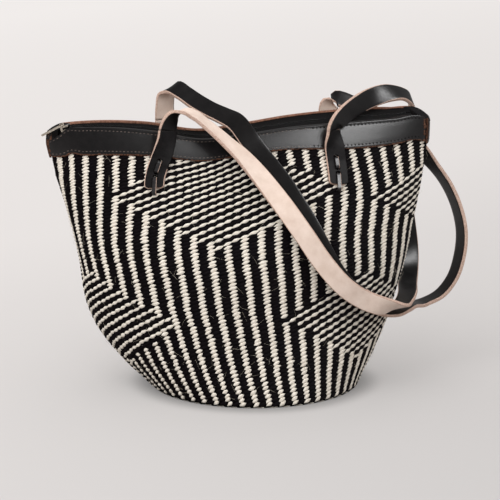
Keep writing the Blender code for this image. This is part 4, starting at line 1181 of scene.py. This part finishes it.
def strap_section(width, thickness, easing):
    """The section as (across, out) pairs: four quarter circles with straight faces between two pairs."""
    half_w, half_t = width / 2 - easing, thickness / 2 - easing
    corners = ((half_w, half_t, 0), (-half_w, half_t, 90), (-half_w, -half_t, 180), (half_w, -half_t, 270))
    pairs, kinds = [], []
    for place, (a, b, start) in enumerate(corners):
        for turn in np.radians(start + np.linspace(0, 90, ROUND_POINTS)):
            pairs.append((a + easing * np.cos(turn), b + easing * np.sin(turn)))
            kinds.append(CUT)
        if place in (0, 2):
            side = 1 if place == 0 else -1
            kinds[-1] = FLESH if place == 0 else GRAIN
            for share in np.linspace(0, 1, FACE_POINTS)[1:-1]:
                pairs.append((side * half_w * (1 - 2 * share), side * (half_t + easing)))
                kinds.append(kinds[-1])
    return np.array(pairs), np.array(kinds)


def cap_mesh_ends(made, count, sides):
    """Close a strap's two ends with one many-sided face each, over its first and last ring."""
    shape = bmesh.new()
    shape.from_mesh(made.data)
    shape.verts.ensure_lookup_table()
    for first, ring in ((0, range(sides - 1, -1, -1)), ((count - 1) * sides, range(sides))):
        face = shape.faces.new([shape.verts[first + i] for i in ring])
        face.material_index = CUT
    shape.to_mesh(made.data)
    shape.free()


def add_strap(name, middle, wide, out, looks, body, painted_shade_edge, corner=0.0):
    """A strap: middle + across x wide + thickness x out; a corner radius narrows its first end."""
    pairs, kinds = strap_section(STRAP_WIDTH, STRAP_THICKNESS, STRAP_EASE)
    run = distances(middle)
    short_of = np.clip(corner - run, 0, None)
    narrowed = 1 - (corner - np.sqrt(corner**2 - short_of**2)) / (STRAP_WIDTH / 2)
    across = pairs[None, :, :1] * narrowed[:, None, None]
    points = middle[:, None] + across * wide[:, None] + pairs[None, :, 1:] * out[:, None]
    count, sides = points.shape[:2]
    slots = np.tile(kinds, (count - 1, 1))
    # Painted shade: where the mask is true, the cut edge on the right is given the grain's black.
    on_the_right = pairs[:, 0] * np.sign(wide[1:, :1]) > 0
    slots[(slots == CUT) & on_the_right & painted_shade_edge[1:, None]] = GRAIN
    uv = np.stack(np.broadcast_arrays(run[:, None], pairs[None, :, 0]), -1)
    made = build(name, points, grid_faces(count, sides, closed=True), looks, uv=uv, slots=slots.ravel())
    cap_mesh_ends(made, count, sides)
    return settle(made, body)


print("points in a strap's section:", len(strap_section(STRAP_WIDTH, STRAP_THICKNESS, STRAP_EASE)[0]))

# %% [markdown]
# ## The two loops
# In places the strap's cut edge on the right is painted black like the grain, as painted shade on that
# edge: near both ends of the front loop, and over nearly half of the rear one.

# %% The two loops
LOOP_STEPS = 300
DARK_EDGE_FROM_SHARE = 0.93
FRONT_DARK_TO_SHARE = 0.02
REAR_DARK_TO_SHARE = 0.45
STRAP_LOOKS = [STRAP_BLACK, STRAP_FLESH, STRAP_EDGE]


def add_handle(name, table, body, dark_to):
    """One loop: its route's shares times the scale; its right edge is painted shade, black, near the start
    and the end.
    """
    rows = np.array(table, float)
    middle, wide, out, length = route_frames(rows[:, :3] * ROUTE_SCALE, rows[:, 3:], LOOP_STEPS)
    share = np.linspace(0, 1, LOOP_STEPS)
    painted_shade_edge = (share > DARK_EDGE_FROM_SHARE) | (share < dark_to)
    made = add_strap(name + "_shown", middle, wide, out, STRAP_LOOKS, body, painted_shade_edge)
    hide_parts(name)
    print(name, "loop length, mm:", round(length / MM))


add_handle("front_handle", FRONT_ROUTE_SHARES, "front_loop", FRONT_DARK_TO_SHARE)
add_handle("rear_handle", REAR_ROUTE_SHARES, "rear_loop", REAR_DARK_TO_SHARE)

# %% [markdown]
# ## Where the laced ends lie
# Below the rim each strap lies flat: on the wall at its foot, then up over the band, then
# in line with the handle above. Its route is worked out from the wall's formula at 18
# heights, and reaches a little below the foot, where the lace goes through the wall.

# %% Where the laced ends lie
STRAP_END_HEIGHT = 0.054
BELOW_END = STRAP_END_HEIGHT * 0.407
END_LEAN_SHARE = 1.2
BAND_LIFT = BAND_OUT * END_LEAN_SHARE
WALL_REST = (STRAP_THICKNESS / 2 + TOUCH_GAP) * END_LEAN_SHARE
BAND_REST = WALL_REST + BAND_LIFT
CLIMB_HEIGHT = STRAP_THICKNESS * 3
END_HEIGHTS = 18
OUTLINE_TRIES = 6
# Each end: name, side, the handle's own end above it, foot as a share of the mouth, height
STRAP_ENDS = (
    ("front_left", False, FRONT_ROUTE_SHARES[0], -0.270, 1.0),
    ("front_right", False, FRONT_ROUTE_SHARES[-1], 0.209, 0.95),
    ("rear_left", True, REAR_ROUTE_SHARES[0], -0.245, 1.0),
    ("rear_right", True, REAR_ROUTE_SHARES[-1], 0.212, 0.95),
)


def surface_y(x, z, rear):
    """y of the wall's outside at x and z: the level depends on the rim above, so it is tried 6 times."""
    top_x = x
    for _ in range(OUTLINE_TRIES):
        v = np.clip(z / wall_height(top_x, rear), 0, 1)
        left, right, depth = level_sizes(v)
        c = np.clip((x - (right - left) / 2) / ((right + left) / 2), -1, 1)
        top_x = (MOUTH_RIGHT_REACH - MOUTH_LEFT_REACH) / 2 + MOUTH_LENGTH / 2 * c
    y = depth * (1 - c * c) ** end_power(v, c, rear)
    return y if rear else -y


def end_route(rear, top_row, foot_share, height_share):
    """A strap end's middle line and across directions: eased from the wall's slope to the handle's."""
    top = np.array(top_row[:3]) * ROUTE_SCALE
    top_wide = np.array(top_row[3:]) * np.sign(top_row[3])
    foot_x = foot_share * MOUTH_LENGTH
    foot_z = top[2] - STRAP_END_HEIGHT * height_share
    band_low = rim_height(top[0], rear) - BAND_HEIGHT
    side, step = 1 if rear else -1, STRAP_WIDTH / 4
    rows, wides = [], []
    for z in np.linspace(foot_z - BELOW_END, top[2] - TOUCH_GAP / 2, END_HEIGHTS):
        x = foot_x + (top[0] - foot_x) * ease((z - foot_z) / (top[2] - foot_z))
        climb = ease((z - band_low + CLIMB_HEIGHT) / CLIMB_HEIGHT)
        y = surface_y(x, z, rear) + side * (WALL_REST + (BAND_REST - WALL_REST) * climb)
        if z > band_low:
            y_low = surface_y(x, band_low, rear) + side * BAND_REST
            y = y_low + (top[1] - y_low) * (z - band_low) / (top[2] - band_low)
        slope = (surface_y(x + step, z, rear) - surface_y(x - step, z, rear)) / (2 * step)
        wall_wide = np.array((1, slope, 0)) / np.hypot(1, slope)
        mix = ease((z - band_low) / (top[2] - band_low))
        rows.append((x, y, z))
        wides.append(wall_wide * (1 - mix) + top_wide * mix)
    return np.array(rows, float), np.array(wides, float)


def run_and_foot(rows):
    """Distances along an end's route, and the distance at the height of the strap's foot."""
    run = distances(rows)
    return run, np.interp(rows[0, 2] + BELOW_END, rows[:, 2], run)


def frame_at(rows, wides, place, side):
    """Middle, along, across and out at a distance above the foot, from two places close together."""
    run, foot = run_and_foot(rows)
    at = np.array((foot + place, foot + place + TOUCH_GAP))
    line = smooth_between(run, rows, at)
    along = unit(line[1] - line[0])
    wide = smooth_between(run, wides, at)[0]
    wide = unit(wide - wide @ along * along)
    out = np.cross(wide, along)
    return line[0], along, wide, out * np.sign(out[1] * side)


print("wall between the handles, y in mm:", round(float(surface_y(0.0, HEIGHT / 2, True)) / MM, 1))

# %% [markdown]
# ## The laces
# A lace is one narrow thong. It goes in and out through the strap's three holes and once more through the
# wall below. Its route is drawn from hole to hole, in front of the strap or behind it, and its corners are
# then rounded by moving each point towards the middle of its neighbours. Its edge on the right is pale.

# %% The laces
LACE_WIDTH = 0.004
LACE_THICKNESS = 0.0016
LACE_HOLE_RADIUS = 0.0025
LACE_TAIL = LACE_HOLE_RADIUS * 3
LACE_STEPS = 90
CORNER_PASSES = 3
OUT_SIDE = STRAP_THICKNESS / 2 + TOUCH_GAP * 2 + LACE_THICKNESS / 2
THROUGH_WALL = TOUCH_GAP * 3 + WALL_THICKNESS * END_LEAN_SHARE
IN_SIDE = -(STRAP_THICKNESS / 2 + THROUGH_WALL + LACE_THICKNESS / 2)


def add_lace(name, rows, wides, side, places):
    """A lace: along its stations from hole to hole, each point then (before + 2 x own + after) / 4."""
    upper, middle_hole, lower, wall_hole = places
    upper_in = IN_SIDE - BAND_LIFT
    stations = ((upper + LACE_TAIL, upper_in - LACE_THICKNESS), (upper, upper_in), (upper, OUT_SIDE),
                (middle_hole, OUT_SIDE), (middle_hole, IN_SIDE), (lower, IN_SIDE), (lower, OUT_SIDE),
                (wall_hole, OUT_SIDE), (wall_hole, IN_SIDE),
                (wall_hole - LACE_TAIL, IN_SIDE - LACE_THICKNESS))
    path, across = [], []
    for place, depth in stations:
        centre, _, wide, outward = frame_at(rows, wides, place, side)
        path.append(centre + depth * outward)
        across.append(wide)
    run = distances(np.array(path))
    even = np.linspace(0, run[-1], LACE_STEPS)
    line = along_line(even, run, np.array(path))
    for _ in range(CORNER_PASSES):
        line[1:-1] = (line[:-2] + 2 * line[1:-1] + line[2:]) / 4
    wide = unit(along_line(even, run, np.array(across)))
    out = unit(np.cross(wide, unit(np.gradient(line, axis=0))))
    pairs, kinds = strap_section(LACE_WIDTH, LACE_THICKNESS, LACE_THICKNESS / 4)
    points = line[:, None] + pairs[None, :, :1] * wide[:, None] + pairs[None, :, 1:] * out[:, None]
    pale_edge = np.tile((kinds == CUT) & (pairs[:, 0] > 0), LACE_STEPS - 1)
    faces = grid_faces(*points.shape[:2], closed=True)
    made = build(name + "_shown", points, faces, [LACE_BLACK, STRAP_EDGE], slots=pale_edge)
    settle(made, "basket", name)
    print(name, "length, mm:", round(float(distances(line)[-1]) / MM, 1))


print("lace in front of and behind a strap's middle, mm:", round(OUT_SIDE / MM, 2), round(IN_SIDE / MM, 2))

# %% [markdown]
# ## The laced ends
# Each end has three round holes, punched through. They are cut with a boolean, because a dark disc painted
# on would show its flatness where the lace lies in it. The foot's corners are rounded, and the edge on the
# right is painted black as painted shade, but left pale near the left ends' feet.

# %% The laced ends
END_STEPS = 60
END_CORNER = 3.5 * MM
LEFT_DARK_FROM_SHARE = 0.4
HOLE_SHARES = (0.51, 0.306, 0.194)
WALL_HOLE_SHARE = -0.111
HOLE_SIDES = 20
END_LOOKS = [END_BLACK, STRAP_FLESH, STRAP_EDGE]


def add_hole(strap, centre, along, across, outward):
    """Cut a round hole: a cylinder through the strap, centre + radius x (cos across + sin along)."""
    turns = (np.arange(HOLE_SIDES) * 2 * np.pi / HOLE_SIDES)[:, None]
    ring = LACE_HOLE_RADIUS * (np.cos(turns) * across + np.sin(turns) * along)
    rings = np.concatenate([centre + ring + depth * STRAP_THICKNESS * outward for depth in (-1, 1)])
    faces = grid_faces(2, HOLE_SIDES, closed=True).tolist()
    faces += [range(HOLE_SIDES - 1, -1, -1), range(HOLE_SIDES, 2 * HOLE_SIDES)]
    mesh = bpy.data.meshes.new("hole")
    mesh.from_pydata(rings.tolist(), [], [tuple(face) for face in faces])
    cutter = bpy.data.objects.new("hole", mesh)
    bpy.context.scene.collection.objects.link(cutter)
    step = strap.modifiers.new("hole", "BOOLEAN")
    step.solver = "EXACT"
    step.object = cutter
    bpy.context.view_layer.update()
    shaped = bpy.data.meshes.new_from_object(strap.evaluated_get(bpy.context.evaluated_depsgraph_get()))
    strap.modifiers.clear()
    strap.data = shaped
    bpy.data.objects.remove(cutter, do_unlink=True)


def add_strap_end(prefix, rear, top_row, foot_share, height_share):
    """A laced end: the strap from its foot to the handle, its holes at shares of its height, its lace."""
    side = 1 if rear else -1
    rows, wides = end_route(rear, top_row, foot_share, height_share)
    run, foot = run_and_foot(rows)
    fine = np.linspace(foot, run[-1], END_STEPS)
    line, wide_line = smooth_between(run, rows, fine), smooth_between(run, wides, fine)
    middle, wide, out, length = route_frames(line, wide_line, END_STEPS)
    flesh_in = -np.sign(out[0, 1] * side)
    # Painted shade: where this mask is true, the right cut edge is painted black.
    painted_shade_edge = np.linspace(0, 1, END_STEPS) > (0 if foot_share > 0 else LEFT_DARK_FROM_SHARE)
    strap = add_strap(prefix + "_strap_end_shown", middle, wide * flesh_in, out * flesh_in, END_LOOKS,
                      "basket", painted_shade_edge, END_CORNER)
    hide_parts(prefix + "_strap_end")
    holes = [STRAP_END_HEIGHT * share for share in HOLE_SHARES]
    for place in holes:
        add_hole(strap, *frame_at(rows, wides, place, side))
    print(prefix, "end length, mm:", round(float(length) / MM, 1))
    add_lace(prefix + "_lace", rows, wides, side, holes + [STRAP_END_HEIGHT * WALL_HOLE_SHARE])


for row in STRAP_ENDS:
    add_strap_end(*row)

# %% [markdown]
# ## Sewing
# Waxed thread runs along each band in two rows, a few millimetres inside its edges. Every stitch is a small
# bead, a little proud of its groove. On the left and in the middle the stitches are painted grey: painted
# light, for the light they catch there. Further right they are black and wider, and break the leather's
# sheen.

# %% Sewing
SEW_PITCH = 3.7 * MM
SEW_LENGTH_SHARE = 0.72
SEW_HALF_WIDTH = 0.5 * MM
BLACK_SEW_HALF_WIDTH = 1.1 * MM
SEW_HEIGHT = 0.75 * MM
SEW_ROOT = MM / 10
SEW_STEPS = 20
BLACK_THREAD_FROM = MOUTH_RIGHT_REACH * 0.3


def add_sewing(name, rear):
    """Two rows of half spindles on one band: one for each pitch of its length, along its angles."""
    _, length = band_turns(rear, 2)
    along_band = int(length / SEW_PITCH)
    fine, _ = band_turns(rear, along_band * SEW_STEPS)
    s = np.linspace(-0.5, 0.5, STATIONS) * SEW_LENGTH_SHARE
    at = (np.arange(1, along_band - 1)[:, None] + s) * SEW_STEPS
    theta = np.interp(at, np.arange(len(fine)), fine)
    lines, normals = [], []
    for share in (SEAM_INSET / BAND_HEIGHT, 1 - SEAM_INSET / BAND_HEIGHT):
        on = band_place(theta, rear, BAND_OUT - GROOVE, share)
        above = band_place(theta, rear, BAND_OUT + MM, share)
        lines.append(on)
        normals.append(unit(above - on))
    line, normal = np.concatenate(lines), np.concatenate(normals)
    if rear:
        line, normal = line[:, ::-1], normal[:, ::-1]
    # Stitches left of this place get the grey of painted light; the rest are black.
    is_black = line[:, 0, 0] > BLACK_THREAD_FROM
    half_width = np.where(is_black, BLACK_SEW_HALF_WIDTH, SEW_HALF_WIDTH)
    points = spindles(line, normal, half_width, np.full(len(line), SEW_HEIGHT), SEW_ROOT)
    faces = repeated_faces(len(line), STITCH_FACES, STATIONS * PROFILE)
    slots = np.repeat(is_black, len(STITCH_FACES))
    settle(build(name, points, faces, [THREAD_PAINTED_LIGHT, THREAD_BLACK], slots=slots), "basket")
    print(name, "stitches:", len(line))


add_sewing("front_band_sewing", False)
add_sewing("rear_band_sewing", True)

# %% [markdown]
# ## Stray hairs
# Sisal is coarse, and short pale hairs stand off the weave all over. A hair system would do it too, but 560
# thin threads of three sides each, as plain meshes, are enough. A real fibre is about as thick as these,
# 0.2 mm.

# %% Stray hairs
HAIRS = 560
HAIR_STATIONS = 6
HAIR_SIDES = 3
HAIR_RADIUS = 0.1 * MM
HAIR_TAPER = 0.6
HAIR_LOWEST_SHARE, HAIR_HIGHEST_SHARE = 0.03, 0.9
HAIR_SHORTEST, HAIR_LONGEST = 4 * MM, 13 * MM
HAIR_BEND_SPREAD = 0.5
HAIR_CURL = 0.6
HAIR_CLEAR = 0.3 * MM
HAIR_ARCH = 1.6 * MM
FLATTEST_ARCH, FULL_ARCH = 0.6, 1.0


def add_hairs():
    """Curved hairs: root + heading x length s + sideways x bend s squared + out x a sine's arch."""
    warp = rng.uniform(0, WARPS, HAIRS)
    share = rng.uniform(HAIR_LOWEST_SHARE, HAIR_HIGHEST_SHARE, HAIRS)
    root, normal = weave_place(warp, share), surface_normals(warp, share)
    turn = rng.uniform(0, 2 * np.pi, HAIRS)[:, None]
    side = unit(np.cross(normal, np.broadcast_to((0.0, 0.0, 1.0), normal.shape)))
    heading = np.cos(turn) * side + np.sin(turn) * np.cross(side, normal)
    length = rng.uniform(HAIR_SHORTEST, HAIR_LONGEST, HAIRS)[:, None]
    bend = rng.normal(0, HAIR_BEND_SPREAD, HAIRS)[:, None]
    s = np.linspace(0, 1, HAIR_STATIONS)
    forth = length * s
    sideways = length * bend * s**2 * HAIR_CURL
    lift = HAIR_CLEAR + HAIR_ARCH * np.sin(np.pi * s * rng.uniform(FLATTEST_ARCH, FULL_ARCH, (HAIRS, 1)))
    line = (root[:, None] + heading[:, None] * forth[..., None]
            + np.cross(normal, heading)[:, None] * sideways[..., None] + normal[:, None] * lift[..., None])
    along = unit(np.gradient(line, axis=1))
    a = unit(np.cross(along, normal[:, None]))
    points = tube(line, HAIR_RADIUS * (1 - HAIR_TAPER * s), a, np.cross(along, a), HAIR_SIDES)
    one = grid_faces(HAIR_STATIONS, HAIR_SIDES, closed=True)
    faces = repeated_faces(HAIRS, one, HAIR_STATIONS * HAIR_SIDES)
    settle(build("stray_hairs", points, faces, STRAY_HAIR), "basket")
    print("hairs:", HAIRS, "mean length, mm:", round(float(length.mean()) / MM, 1))


add_hairs()

# %% [markdown]
# ## The floor
# The background is pale and warm, with almost no horizon, brighter at the top left and falling off to the
# lower right. It is one large dull floor of board, and its colour is painted light: brighter to the back
# left and darker to the front right, along a slanting line. It is also painted darker close round the base,
# a painted shadow for the tight shadow under a heavy bag that soft light alone doesn't give.

# %% The floor's paint
FLOOR_SIZE = 12.0
# Painted light: the floor's colour runs from this dark at the front right to this bright at the back left.
FLOOR_BRIGHT = colour("#B1ADAB")
FLOOR_DARK = colour("#918E8D")
# The slanting line: metres back, less so much for each metre to the right
PAINT_SLANT = -0.9
PAINT_DARK_AT, PAINT_BRIGHT_AT = -0.75, 0.9
# Where the contact shade starts and ends, from the base's middle, and how dark it is
SHADE_FROM = BASE_RADIUS * 0.97
SHADE_TO = BASE_RADIUS * 1.3
SHADE_DEPTH = 0.62

floor_look, tree, floor_shader = material("pale floor", 0.95, specular=0.0)
place = add(tree, "ShaderNodeTexCoord").outputs["Object"]
axes = add(tree, "ShaderNodeSeparateXYZ", Vector=place)
right, back = axes.outputs["X"], axes.outputs["Y"]
slant = add(tree, "ShaderNodeMath", {"operation": "MULTIPLY_ADD"}, _0=right, _1=PAINT_SLANT, _2=back)
paint_share = add(tree, "ShaderNodeMapRange", Value=slant.outputs[0],
                  From_Min=PAINT_DARK_AT, From_Max=PAINT_BRIGHT_AT)
paint = add(tree, "ShaderNodeMix", {"data_type": "RGBA"}, _0=paint_share.outputs[0],
            _6=FLOOR_DARK, _7=FLOOR_BRIGHT)
distance = add(tree, "ShaderNodeVectorMath", {"operation": "LENGTH"}, _0=place)
shade = add(tree, "ShaderNodeMapRange", {"interpolation_type": "SMOOTHERSTEP"},
            Value=distance.outputs["Value"], From_Min=SHADE_FROM, From_Max=SHADE_TO, To_Min=SHADE_DEPTH)
shaded = add(tree, "ShaderNodeVectorMath", {"operation": "SCALE"}, _0=paint.outputs[2],
             Scale=shade.outputs[0])
tree.links.new(shaded.outputs["Vector"], floor_shader.inputs["Base Color"])
print("contact shade, mm from the middle:", round(SHADE_FROM / MM), "to", round(SHADE_TO / MM))

# %% [markdown]
# ## The floor's glow
# A lit backdrop can be had from many lamps or from a floor that glows a little. The glow is painted light,
# simpler and even, and it grows towards the back left; it is dimmed too by the painted shadow round the
# base. Only the camera and mirrored rays see it, so it doesn't light the bag from below.

# %% The floor's glow
WORLD_COLOUR = colour("#F4F2F1")
GLOW_SLANT = -0.65
GLOW_FROM_AT, GLOW_TO_AT = 0.5, 3.3
FLOOR_GLOW = 0.31
BACKDROP_GLOW = 0.52

drift = add(tree, "ShaderNodeMath", {"operation": "MULTIPLY_ADD"}, _0=right, _1=GLOW_SLANT, _2=back)
glow = add(tree, "ShaderNodeMapRange", Value=drift.outputs[0], From_Min=GLOW_FROM_AT,
           From_Max=GLOW_TO_AT, To_Min=FLOOR_GLOW, To_Max=BACKDROP_GLOW)
lit = add(tree, "ShaderNodeMath", {"operation": "MULTIPLY"}, _0=glow.outputs[0], _1=shade.outputs[0])
ray = add(tree, "ShaderNodeLightPath")
seen = add(tree, "ShaderNodeMath", {"operation": "MAXIMUM"}, _0=ray.outputs["Is Camera Ray"],
           _1=ray.outputs["Is Glossy Ray"])
shown = add(tree, "ShaderNodeMath", {"operation": "MULTIPLY"}, _0=lit.outputs[0], _1=seen.outputs[0])
tree.links.new(shown.outputs[0], floor_shader.inputs["Emission Strength"])
floor_shader.inputs["Emission Color"].default_value = WORLD_COLOUR
corners = np.array([(-1, -1, 0), (1, -1, 0), (1, 1, 0), (-1, 1, 0)]) * FLOOR_SIZE / 2
floor = build("floor", corners, [(0, 1, 2, 3)], floor_look, smooth=False)
print("nodes in the floor's look:", len(tree.nodes))

# %% [markdown]
# ## The light
# A bright world and two large soft lights give the even light of a photographer's tent.
# Shiny leather would mirror the bright world and turn grey, so rays that mirror see it
# darker. Two smaller boxes are there only to be mirrored: they put the soft glints on the
# right half of the bands and on the straps' folds.

# %% The light
WORLD_STRENGTH = 1.0
MIRRORED_STRENGTH = 0.3
# Each light: name, place, aim, size in metres, watts, and whether it is only mirrored
LIGHTS = (
    ("key", (-0.8, -1.2, 1.6), (0, 0, 0.13), 1.6, 22, False),
    ("back", (0.1, 1.3, 1.6), (0, 0, 0.15), 1.6, 3, False),
    ("band_box", (0.56, -0.92, 1.07), (0.12, 0, 0.25), 0.5, 24, True),
    ("top_box", (0.93, -0.22, 1.14), (0.13, 0, 0.285), 0.35, 12, True),
)

world = bpy.data.worlds.new("studio")
bpy.context.scene.world = world
world.use_nodes = True
sky = world.node_tree.nodes["Background"]
sky.inputs["Color"].default_value = WORLD_COLOUR
sky_ray = add(world.node_tree, "ShaderNodeLightPath")
sky_strength = add(world.node_tree, "ShaderNodeMapRange", Value=sky_ray.outputs["Is Glossy Ray"],
                   To_Min=WORLD_STRENGTH, To_Max=MIRRORED_STRENGTH)
world.node_tree.links.new(sky_strength.outputs[0], sky.inputs["Strength"])


def turned_to(direction):
    """The rotation that points a light's or camera's own -Z along a direction, with Y up."""
    return Vector(direction).to_track_quat("-Z", "Y").to_euler()


def area_light(name, place, aim, size, power, mirrored_only):
    """A square soft light, turned by its aim less its place; a mirrored one lights nothing dull."""
    data = bpy.data.lights.new(name, "AREA")
    data.shape = "SQUARE"
    data.size = size
    data.energy = power
    made = bpy.data.objects.new(name, data)
    made.location = place
    made.rotation_euler = turned_to(Vector(aim) - Vector(place))
    made.visible_glossy = mirrored_only
    made.visible_diffuse = not mirrored_only
    bpy.context.scene.collection.objects.link(made)


for row in LIGHTS:
    area_light(*row)
print("lights, W:", {row[0]: row[4] for row in LIGHTS})

# %% [markdown]
# ## The camera
# The photograph was taken from a long way off, a little above the bag and a few degrees to
# its left, so the lens is long. The picture is half a metre wide at the bag.

# %% Camera
CAMERA_RISE = np.radians(12.5)
CAMERA_TURN = np.radians(4.0)
CAMERA_DISTANCE = 2.4
CAMERA_AIM = np.array((-0.0045, 0.0, 0.1345))
PICTURE_WIDTH = 0.5
SENSOR = 36.0

forward = np.array((np.sin(CAMERA_TURN) * np.cos(CAMERA_RISE),
                    np.cos(CAMERA_TURN) * np.cos(CAMERA_RISE), -np.sin(CAMERA_RISE)))
camera_data = bpy.data.cameras.new("camera")
camera_data.sensor_width = SENSOR
camera_data.lens = SENSOR * CAMERA_DISTANCE / PICTURE_WIDTH
camera = bpy.data.objects.new("camera", camera_data)
camera.location = CAMERA_AIM - forward * CAMERA_DISTANCE
camera.rotation_euler = turned_to(forward)
bpy.context.scene.collection.objects.link(camera)
bpy.context.scene.camera = camera
bpy.context.scene.view_settings.view_transform = "Standard"
print("lens, mm:", round(camera_data.lens, 1))
